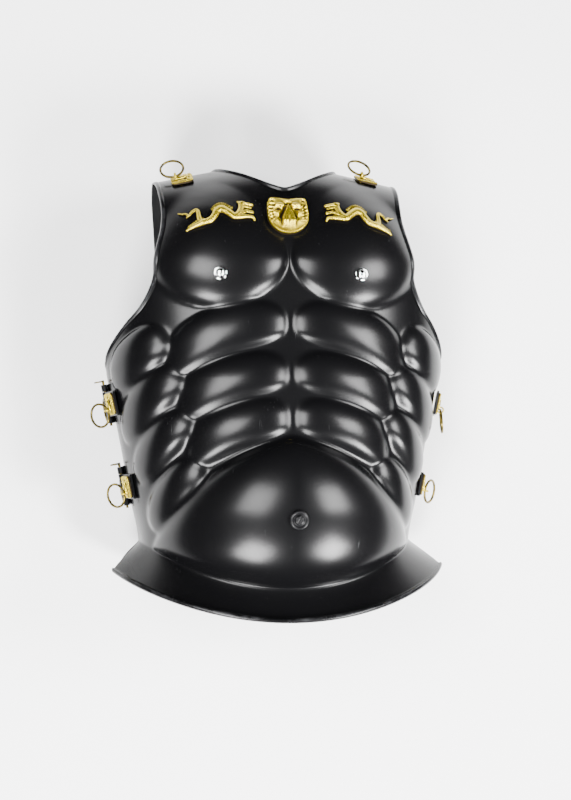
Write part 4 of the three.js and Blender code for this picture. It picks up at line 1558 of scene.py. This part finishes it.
    def build(self, shop: Workshop) -> None:
        """Cast a dragon for each side of the chest.

        Args:
            shop: Workshop that makes the pieces.
        """
        flat = Relief(
            half_x=43.5, half_y=20.5, step=0.3, edge=0.8, outline=self.outline, height=self.height,
        ).surface()
        for side, name in ((Side.LEFT, "dragon_left"), (Side.RIGHT, "dragon_right")):
            x, y, z = flat.points.T * np.array([[-side.value * self.size], [self.size], [1.0]])
            middle = self.left_x if side is Side.LEFT else self.right_x
            p, q = self.plate.form.place(x + middle, y + self.y)
            points, _ = self.plate.surface(p, q, z + self.gap)
            faces = flat.faces if side is Side.LEFT else flat.faces[:, ::-1]
            piece = Surface(points, faces, flat.masks)
            brass = shop.finishes.brass
            shop.make(f"{name}_casting", piece, brass, Body.FRONT, (name,), 60)


@dataclass(frozen=True)
class LionFace:
    """Face of a lion in relief, in units of its half width and half height.

    Each feature is a soft bump on both sides: its height, its place across and up, and its reach
    across and up. They are in pairs: bridge of the nose, eyes, ears, cheeks and muzzle.
    """

    depth: float
    square_above: float = 5.0
    square_below: float = 2.2
    features: tuple = (
        (-0.32, 0.0, 0.60, 0.14, 0.07), (0.18, 0.0, 0.76, 0.22, 0.06),
        (-0.26, 0.42, 0.29, 0.13, 0.06), (0.14, 0.42, 0.28, 0.05, 0.045),
        (0.36, 0.76, 0.76, 0.18, 0.16), (-0.30, 0.74, 0.73, 0.08, 0.07),
        (0.26, 0.56, 0.04, 0.15, 0.15), (0.10, 0.50, -0.36, 0.16, 0.18),
        (0.12, 0.22, -0.42, 0.16, 0.14), (-0.10, 0.0, -0.40, 0.04, 0.14),
    )

    def reach(self, u: Array, v: Array) -> Array:
        """Return 0 in the middle and 1 on the outline.

        Args:
            u: Places across, in half widths.
            v: Places up, in half heights.

        Returns:
            0 in the middle and 1 on the outline.
        """
        square = np.where(v > 0, self.square_above, self.square_below)
        return (np.abs(u) ** square + np.abs(v) ** square) ** (1 / square)

    def height(self, u: Array, v: Array) -> Array:
        """Return the height of the face, in units of its depth.

        Args:
            u: Places across, in half widths.
            v: Places up, in half heights.

        Returns:
            The height of the face, in units of its depth.
        """
        side, rho = np.abs(u), self.reach(u, v)
        turn = np.arctan2(u, v + 0.05)
        ground = 0.34 + 0.12 * (1 - rho**2)
        lock = wave(turn * 4.6 + 0.9 * rho + 0.25 * np.sin(9 * rho)) ** 1.4
        beside = smooth((v + 0.55) / 0.4) * smooth((0.72 - v) / 0.2)
        mane = 0.18 * lock * smooth((rho - 0.6) / 0.12) * smooth((0.985 - rho) / 0.08) * beside
        fine = 0.05 * wave(turn * 14 + 2.5 * rho) * smooth((rho - 0.5) / 0.2)
        width = mix(0.36, 0.10, smooth((v + 0.30) / 0.80))
        nose_on = smooth((width - side) / 0.10) * smooth((0.50 - v) / 0.10)
        nose_on = nose_on * smooth((v + 0.80) / 0.45)
        nose = nose_on * (0.52 - 0.12 * (side / width) ** 2 - 0.10 * v)
        flank = smooth((0.46 - v) / 0.1) * smooth((v + 0.30) / 0.3)
        groove = -0.34 * np.exp(-(((side - width - 0.05) / 0.06) ** 2)) * flank
        brow_line = np.exp(-(((v - 0.52 + 0.9 * (side - 0.36) ** 2) / 0.11) ** 2))
        brow = 0.28 * brow_line * smooth((side - 0.12) / 0.08) * smooth((0.66 - side) / 0.1)
        modelled = sum(rise * bump_at(side, v, *place) for rise, *place in self.features)
        beads = 0.12 * wave(turn * 7.2) ** 1.5 * np.exp(-(((rho - 0.93) / 0.045) ** 2)) * (v < 0.5)
        notch = -0.30 * bump_at(u, v, 0.0, 1.02, 0.42, 0.10)
        face = ground + mane + fine + nose + groove + brow + modelled + beads + notch
        return np.clip(face, 0.14, 1.0) * smooth((1.01 - rho) / 0.05) ** 0.5


@dataclass
class LionMask:
    """Lion mask below the notch of the neck, on a shield outline."""

    plate: Plate
    face: LionFace = LionFace(11.0)
    y: float = 194.0
    half_width: float = 22.0
    half_height: float = 19.3
    gap: float = 2.0

    def outline(self, x: Array, y: Array) -> Array:
        """Return the distance to the outline, negative inside."""
        return (self.face.reach(x / self.half_width, y / self.half_height) - 1) * self.half_height

    def height(self, x: Array, y: Array) -> Array:
        """Return the height of the face."""
        return self.face.depth * self.face.height(x / self.half_width, y / self.half_height)

    def build(self, shop: Workshop) -> None:
        """Cast the mask and bend it to the chest.

        Args:
            shop: Workshop that makes the pieces.
        """
        flat = Relief(
            half_x=23.0, half_y=20.5, step=0.22, edge=1.6, outline=self.outline,
            height=self.height, hollow_depth=0.5, skirt=-1.9,
        ).surface()
        p, q = self.plate.form.place(flat.points[:, 0], flat.points[:, 1] + self.y)
        points, _ = self.plate.surface(p, q, flat.points[:, 2] + self.gap)
        piece = Surface(points, flat.faces, flat.masks)
        brass, nodes = shop.finishes.brass, ("lion_mask",)
        shop.make("lion_mask_casting", piece, brass, Body.FRONT, nodes, 60)


# ------------------------------------------------------------------ fittings
@dataclass(frozen=True)
class Seat:
    """Place for a fitting: a point with its directions, and the lift off the plate."""

    point: Array
    across: Array
    along: Array
    out: Array
    lift: float

    def stand(self, piece: Surface) -> Surface:
        """Return a piece built on z = 0, moved onto the seat.

        Args:
            piece: Piece built on z = 0.

        Returns:
            A piece built on z = 0, moved onto the seat.
        """
        basis = np.stack([self.across, self.along, self.out])
        return piece.moved(basis, self.point + self.lift * self.out)


@dataclass(frozen=True)
class Seats:
    """Finds the seats of the fittings on the two plates."""

    breast: Plate
    back: Plate
    leaf_depth: float = 18.0
    leaf_half: float = 14.5
    leaf_lift: float = 0.8
    leaf_thickness: float = 2.0
    plaque_half: float = 12.2
    plaque_gap: float = 0.5

    @staticmethod
    def clear(plate: Plate, axes: tuple, p: float, q: float, width: float, length: float) -> float:
        """Return how far a plate rises above the plane of a frame within reach of its point.

        Args:
            plate: The plate.
            axes: Point of the frame, then its directions across, along and out.
            p: Angles round the body, in quarter turns.
            q: Heights along the sheet.
            width: Reach across, in millimetres.
            length: Reach along, in millimetres.

        Returns:
            How far a plate rises above the plane of a frame within reach of its point.
        """
        point, across, _, out = axes
        i, j = np.meshgrid(np.arange(-5, 6), np.arange(-5, 6))
        near_p = np.sign(p) * np.minimum(abs(p) + i * 0.025, 1)
        offset = plate.surface(near_p, q + j / 5 * length)[0] - point
        return float(np.max(np.where(np.abs(offset @ across) < width, offset @ out, 0)))

    @staticmethod
    def leaf_reach(body: Body, side: Side) -> float:
        """Return the half length of a leaf, longer where it carries the outer knuckles."""
        return 21.5 if body is Body.BACK and side is Side.LEFT else 13.5

    def on_breast(self, x: float, y: float) -> tuple:
        """Return p and q of the point of the breast seen from the front at x, y."""
        return tuple(float(v) for v in self.breast.form.place(np.float64(x), np.float64(y)))

    def chest(self, x: float, y: float, lift: float = 0.5) -> Seat:
        """Return a seat on the breast at x, y."""
        return Seat(*self.breast.frame_at(*self.on_breast(x, y)), lift)

    def shoulder(self, x: float, y: float) -> Seat:
        """Return the seat of a shoulder plaque, turned sideways.

        Args:
            x: Places across, in millimetres.
            y: Heights, in millimetres.

        Returns:
            The seat of a shoulder plaque, turned sideways.
        """
        p, q = self.on_breast(x, y)
        point, across, along, out = axes = self.breast.frame_at(p, q)
        lift = self.clear(self.breast, axes, p, q, self.plaque_half, self.plaque_half)
        return Seat(point, -along, across, out, lift + self.plaque_gap)

    def leaf(self, body: Body, side: Side, y: float) -> Seat:
        """Return the seat of a leaf beside the seam.

        Args:
            body: Plate that it sits on.
            side: Side of the cuirass.
            y: Heights, in millimetres.

        Returns:
            The seat of a leaf beside the seam.
        """
        plate = self.breast if body is Body.FRONT else self.back
        sections = plate.form.sections
        height = np.float64(y)
        fraction = self.leaf_depth / sections.at(plate.form.depth, height)
        share = np.arcsin(round_off(fraction, sections.at("square", height)))
        p = side.value * float(share) / (math.pi / 2)
        axes = plate.frame_at(p, y)
        lift = self.clear(plate, axes, p, y, self.leaf_half, self.leaf_reach(body, side))
        return Seat(*axes, lift + self.leaf_lift)

    def plaque(self, body: Body, side: Side, y: float) -> Seat:
        """Return the seat of a plaque on its leaf.

        Args:
            body: Plate that it sits on.
            side: Side of the cuirass.
            y: Heights, in millimetres.

        Returns:
            The seat of a plaque on its leaf.
        """
        seat = self.leaf(body, side, y)
        lift = seat.lift + self.leaf_thickness + self.plaque_gap
        return Seat(seat.point, seat.across, seat.along, seat.out, lift)


@dataclass
class RingPlaque:
    """Small lion plaque with an eye that holds a loose ring."""

    name: str
    body: Body
    seat: Seat
    hang: tuple
    crosswise: bool = False
    half: float = 12.2
    edge: float = 1.6
    depth: float = 5.2
    eye_drop: float = 6.5
    eye_height: float = 5.7
    ring_radius: float = 12.6
    ring_wire: float = 1.3

    def outline(self, x: Array, y: Array) -> Array:
        """Return the distance to the outline, negative inside.

        Args:
            x: Places across, in millimetres.
            y: Heights, in millimetres.

        Returns:
            The distance to the outline, negative inside.
        """
        reach = (np.abs(x / self.half) ** 6 + np.abs(y / self.half) ** 6) ** (1 / 6)
        return (reach - 1) * self.half

    def height(self, x: Array, y: Array) -> Array:
        """Return the height of the face.

        Args:
            x: Places across, in millimetres.
            y: Heights, in millimetres.

        Returns:
            The height of the face.
        """
        face = LionFace(self.depth, 6.0, 6.0)
        return self.depth * face.height(x / self.half, y / self.half) * 0.85 + 0.4

    def build(self, shop: Workshop) -> None:
        """Cast the plaque, with its eye, and bend the ring.

        Args:
            shop: Workshop that makes the pieces.
        """
        face = Relief(
            half_x=12.6, half_y=12.6, step=0.26, edge=self.edge, outline=self.outline,
            height=self.height, hollow_depth=0.45, skirt=0.0,
        ).surface()
        eye = torus(3.25, 0.85, 36, 12)
        stretched = eye.points * (1, 1, 1.3)
        turn = np.array([[1, 0, 0], [0, 0, 1], [0, -1, 0]], float)
        if self.crosswise:
            turn = np.array([[0, 1, 0], [0, 0, 1], [1, 0, 0]], float)
        # The eye carries a light, even share of the painted shade, so it is painted a little darker
        # and rougher than the face.
        upright = Surface(stretched, eye.faces, {"hollow": np.full(len(eye.points), 0.15)})
        whole = face.joined(upright.moved(turn, np.array([0, -self.eye_drop, self.eye_height])))
        name = f"plaque_{self.name}"
        seat, brass = self.seat, shop.finishes.brass
        shop.make(f"{name}_casting", seat.stand(whole), brass, self.body, (name,), 60)
        across, along, out = self.hang
        hang = unit(across * seat.across + along * seat.along + out * seat.out)
        through = seat.across if self.crosswise else seat.along
        through = unit(through - np.dot(through, hang) * hang)
        middle = seat.point + seat.out * (seat.lift + self.eye_height) - self.eye_drop * seat.along
        basis = np.stack([hang, through, np.cross(hang, through)])
        ring = torus(self.ring_radius, self.ring_wire, 96, 16)
        ring = ring.moved(basis, middle + self.ring_radius * hang)
        name = f"ring_{self.name}"
        shop.make(f"{name}_wire", ring, shop.finishes.wire, self.body, (name,))


@dataclass
class ChestStuds:
    """Faceted chrome studs of the breast, and the slotted boss of the navel."""

    seats: Seats
    stud_x: float = 73.0
    stud_y: float = 131.0
    navel_y: float = -121.0
    stud_profile: tuple = (
        (0.0, 0.0), (6.4, 0.0), (7.0, 0.25), (7.0, 0.75),
        (6.6, 1.15), (5.9, 1.3), (5.5, 1.35), (5.3, 1.9),
        (4.6, 3.0), (3.5, 3.9), (2.2, 4.4), (1.0, 4.58), (0.0, 4.6),
    )
    boss_profile: tuple = (
        (0.0, 0.0), (9.4, 0.0), (9.85, 0.2), (10.0, 0.7),
        (9.85, 1.5), (9.3, 2.2), (8.5, 2.5), (7.7, 2.3),
        (7.1, 1.7), (6.6, 1.2), (6.0, 1.15), (5.4, 1.25),
        (5.1, 2.0), (4.95, 3.0), (4.5, 3.7), (3.6, 4.1),
        (2.6, 4.2), (1.2, 4.25), (0.0, 4.25),
    )

    def build(self, shop: Workshop) -> None:
        """Turn the studs and the boss.

        Args:
            shop: Workshop that makes the pieces.
        """
        for side, name in ((Side.LEFT, "nipple_stud_left"), (Side.RIGHT, "nipple_stud_right")):
            seat = self.seats.chest(side.value * self.stud_x, self.stud_y)
            stud = turned(self.stud_profile, 48)
            angle = np.arctan2(stud.points[:, 1], stud.points[:, 0])
            level = stud.points[:, 2]
            petal = smooth((level - 1.6) / 1.2) * smooth((4.5 - level) / 0.4)
            stud.points[:, 2] += 0.22 * petal * np.cos(8 * angle)
            chrome = shop.finishes.chrome
            shop.make(f"{name}_turned", seat.stand(stud), chrome, Body.FRONT, (name,), 50)
        boss = turned(self.boss_profile, 56)
        slot = smooth((1.0 - np.abs(boss.points[:, 0] - 0.5 * boss.points[:, 1])) / 0.5)
        top = boss.points[:, 2] > 3.4
        boss.points[:, 2] -= 1.1 * slot * top
        level = boss.points[:, 2]
        boss.masks["rim"] = np.where((level > 2.35) & (level < 2.6), 0.7, 0.0)
        seat = self.seats.chest(0.0, self.navel_y)
        iron, nodes = shop.finishes.iron, ("navel_boss",)
        shop.make("navel_boss_turned", seat.stand(boss), iron, Body.FRONT, nodes, 60)


@dataclass
class Hinges:
    """Left hinges with pull pins, and the plain leaf blocks of the right side."""

    seats: Seats
    offset: float = 5.0
    along: tuple = (-0.1911, 0.9816, 0.0)
    outward: tuple = (-0.9816, -0.1911, 0.0)
    length: float = 43.0
    pin_radius: float = 1.4
    pull_radius: float = 4.6
    pull_wire: float = 0.8

    def pin(self, y: float) -> Surface:
        """Return a hinge pin with its pull ring, at height y.

        Args:
            y: Heights, in millimetres.

        Returns:
            A hinge pin with its pull ring, at height y.
        """
        sections = self.seats.breast.form.sections
        centre = np.array([-float(sections.at("half_width", np.float64(y))), y, 0.0])
        centre = centre + self.offset * np.array(self.outward)
        basis = np.array([self.outward, (0, 0, 1), self.along], float)
        rod = bar(self.pin_radius, -24.5, 26.5, 0.35)
        pull = torus(self.pull_radius, self.pull_wire, 48, 12)
        pull.points[:, 0] += self.pull_radius
        pull.points[:, 2] += 25.5
        return rod.joined(pull).moved(basis, centre)

    def build(self, shop: Workshop) -> None:
        """Make the pins and rivets, and dress the carried-over leaves and knuckles."""
        for level, y in LEAF_HEIGHTS.items():
            name = f"hinge_pin_{level}"
            wire = shop.finishes.wire
            shop.make(f"{name}_drawn", self.pin(y), wire, Body.BACK, (name,), 40)
            for body in Body:
                place = "front" if body is Body.FRONT else "back"
                for side, kind in ((Side.LEFT, "hinge"), (Side.RIGHT, "leaf")):
                    piece = f"{kind}_{place}_{level}"
                    shop.dress(piece, shop.finishes.iron, 0.35)
                    self.rivets(shop, body, side, y, piece)

    def rivets(self, shop: Workshop, body: Body, side: Side, y: float, piece: str) -> None:
        """Set a rivet head on each end of a leaf's front edge.

        Args:
            shop: Workshop that makes the pieces.
            body: Plate that it sits on.
            side: Side of the cuirass.
            y: Heights, in millimetres.
            piece: Name of the leaf.
        """
        half = self.seats.leaf_reach(body, side)
        seat = self.seats.leaf(body, side, y)
        head = turned(((0.0, -0.1), (0.75, -0.1), (0.72, 0.3), (0.5, 0.6), (0.0, 0.72)), 16)
        rivets = None
        for sx in (-1, 1):
            for sy in (-1, 1):
                corner = np.array([sx * 13.3, sy * (half - 1.3), 2.0])
                spot = seat.stand(head.moved(np.eye(3), corner))
                rivets = spot if rivets is None else rivets.joined(spot)
        shop.make(f"{piece}_rivets", rivets, shop.finishes.iron, body)


@dataclass(frozen=True)
class Studio:
    """Camera, lights, pale surroundings and floor."""

    fitting: Fitting
    finishes: Finishes
    lens: float = 61.12
    shift: float = 0.08
    camera_place: tuple = (-267.22, -9.03, 1505.11)
    camera_turn: tuple = (0.0064, -0.1374, -0.0014)
    light_size: float = 0.8
    light_height: float = 1900.0
    lights: tuple = (
        ("left_high", -850, 350, 70.0), ("right_high", 1700, 350, 100.0),
        ("left_low", -900, -1500, 185.0), ("right_low", 1700, -1500, 270.0),
    )
    floor_reach: float = 6.0

    def camera(self) -> None:
        """Make the camera, above the cuirass and to its left."""
        data = bpy.data.cameras.new("camera")
        data.lens = self.lens
        data.shift_x = self.shift
        data.clip_start, data.clip_end = 0.05, 50.0
        made = bpy.data.objects.new("camera", data)
        made.location = self.fitting.metres(self.camera_place).tolist()
        made.rotation_euler = self.camera_turn
        bpy.context.collection.objects.link(made)
        bpy.context.scene.camera = made

    def soft_light(self, name: str, x: float, y: float, watts: float) -> None:
        """Hang a square soft light over x, y, turned to the middle of the cuirass.

        Args:
            name: Name of the light.
            x: Place across.
            y: Place up the body.
            watts: Power of the light.
        """
        data = bpy.data.lights.new(name, "AREA")
        data.shape = "SQUARE"
        data.size = self.light_size
        data.energy = watts
        made = bpy.data.objects.new(name, data)
        start, end = self.fitting.metres((x, y, self.light_height)), self.fitting.metres((0, 0, 0))
        made.location = start.tolist()
        made.rotation_euler = Vector((end - start).tolist()).to_track_quat("-Z", "Y").to_euler()
        bpy.context.collection.objects.link(made)

    def surroundings(self) -> None:
        """Light the room: white at the horizon, dim overhead."""
        world = bpy.data.worlds.new("white_room")
        bpy.context.scene.world = world
        world.use_nodes = True
        tree = world.node_tree
        place = tree.nodes.new("ShaderNodeTexCoord")
        parts = tree.nodes.new("ShaderNodeSeparateXYZ")
        tree.links.new(place.outputs["Generated"], parts.inputs[0])
        rise = self.fade(tree, parts.outputs["Z"], (0.0, 0.5), (0.5, 0.02))
        front = self.fade(tree, parts.outputs["Y"], (-0.7, 0.7), (1.6, 0.15))
        total = tree.nodes.new("ShaderNodeMath")
        total.operation = "MULTIPLY"
        tree.links.new(rise, total.inputs[0])
        tree.links.new(front, total.inputs[1])
        tree.links.new(total.outputs[0], tree.nodes["Background"].inputs["Strength"])

    @staticmethod
    def fade(
        tree: bpy.types.NodeTree, value: bpy.types.NodeSocket, span: tuple, levels: tuple,
    ) -> bpy.types.NodeSocket:
        """Add a smooth fade of a value over a span, between two levels.

        Args:
            tree: Node tree of the world.
            value: Socket that is faded.
            span: Values where the fade starts and ends.
            levels: Results at those values.

        Returns:
            The faded value.
        """
        made = tree.nodes.new("ShaderNodeMapRange")
        made.interpolation_type = "SMOOTHSTEP"
        for name, number in zip(("From Min", "From Max", "To Min", "To Max"), span + levels):
            made.inputs[name].default_value = number
        tree.links.new(value, made.inputs["Value"])
        return made.outputs[0]

    def floor(self) -> None:
        """Lay the floor."""
        mesh = bpy.data.meshes.new("floor")
        reach = self.floor_reach
        corners = [(-reach, -reach, 0), (reach, -reach, 0), (reach, reach, 0), (-reach, reach, 0)]
        mesh.from_pydata(corners, [], [(0, 1, 2, 3)])
        mesh.materials.append(self.finishes.floor)
        made = bpy.data.objects.new("floor", mesh)
        bpy.context.collection.objects.link(made)

    def build(self) -> None:
        """Set up the studio."""
        self.camera()
        self.surroundings()
        self.floor()
        for name, x, y, watts in self.lights:
            self.soft_light(name, x, y, watts)


def ring_plaques(seats: Seats) -> list:
    """Return the ring plaques of the shoulders and sides.

    Args:
        seats: Finder of the seats.

    Returns:
        The ring plaques of the shoulders and sides.
    """
    shoulders = (("shoulder_left", -106.5, 240.0), ("shoulder_right", 100.0, 244.0))
    made = [
        RingPlaque(name, Body.FRONT, seats.shoulder(x, y), (-0.90, -0.15, 0.42))
        for name, x, y in shoulders
    ]
    hangs = {
        "front_upper_left": (-0.82, -0.30, 0.50), "front_upper_right": (0.0, -0.96, 0.25),
        "front_lower_left": (-0.86, -0.10, 0.50), "front_lower_right": (0.88, 0.0, 0.47),
    }
    for place, body in (("front", Body.FRONT), ("back", Body.BACK)):
        for level, y in LEAF_HEIGHTS.items():
            for side in Side:
                name = f"{place}_{level}_{side.name.lower()}"
                hang = hangs.get(name, (0.9 * side.value, 0.0, 0.4))
                crosswise = name == "front_upper_right"
                made.append(RingPlaque(name, body, seats.plaque(body, side, y), hang, crosswise))
    return made


def main() -> None:
    """Build the cuirass and its studio."""
    logging.basicConfig(level=logging.INFO, format="%(name)s: %(message)s")
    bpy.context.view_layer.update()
    fitting = Fitting.from_frame()
    LOG.info("fitting: %s", fitting)
    finishes = Finishes()
    shop = Workshop(fitting, finishes)
    Studio(fitting, finishes).build()
    breast = Plate(
        Pattern.BREAST, Body.FRONT, Musculature(),
        columns=120, flange_rows=24, seam_rows=130, arm_rows=115, shoulder_rows=28,
    )
    back = Plate(
        Pattern.BACK, Body.BACK, None,
        columns=60, flange_rows=12, seam_rows=50, arm_rows=60, shoulder_rows=14,
    )
    breast.build(shop)
    back.build(shop)
    LionMask(breast).build(shop)
    SeaDragon(breast).build(shop)
    seats = Seats(breast, back)
    ChestStuds(seats).build(shop)
    Hinges(seats).build(shop)
    for plaque in ring_plaques(seats):
        plaque.build(shop)


if __name__ == "__main__":
    main()
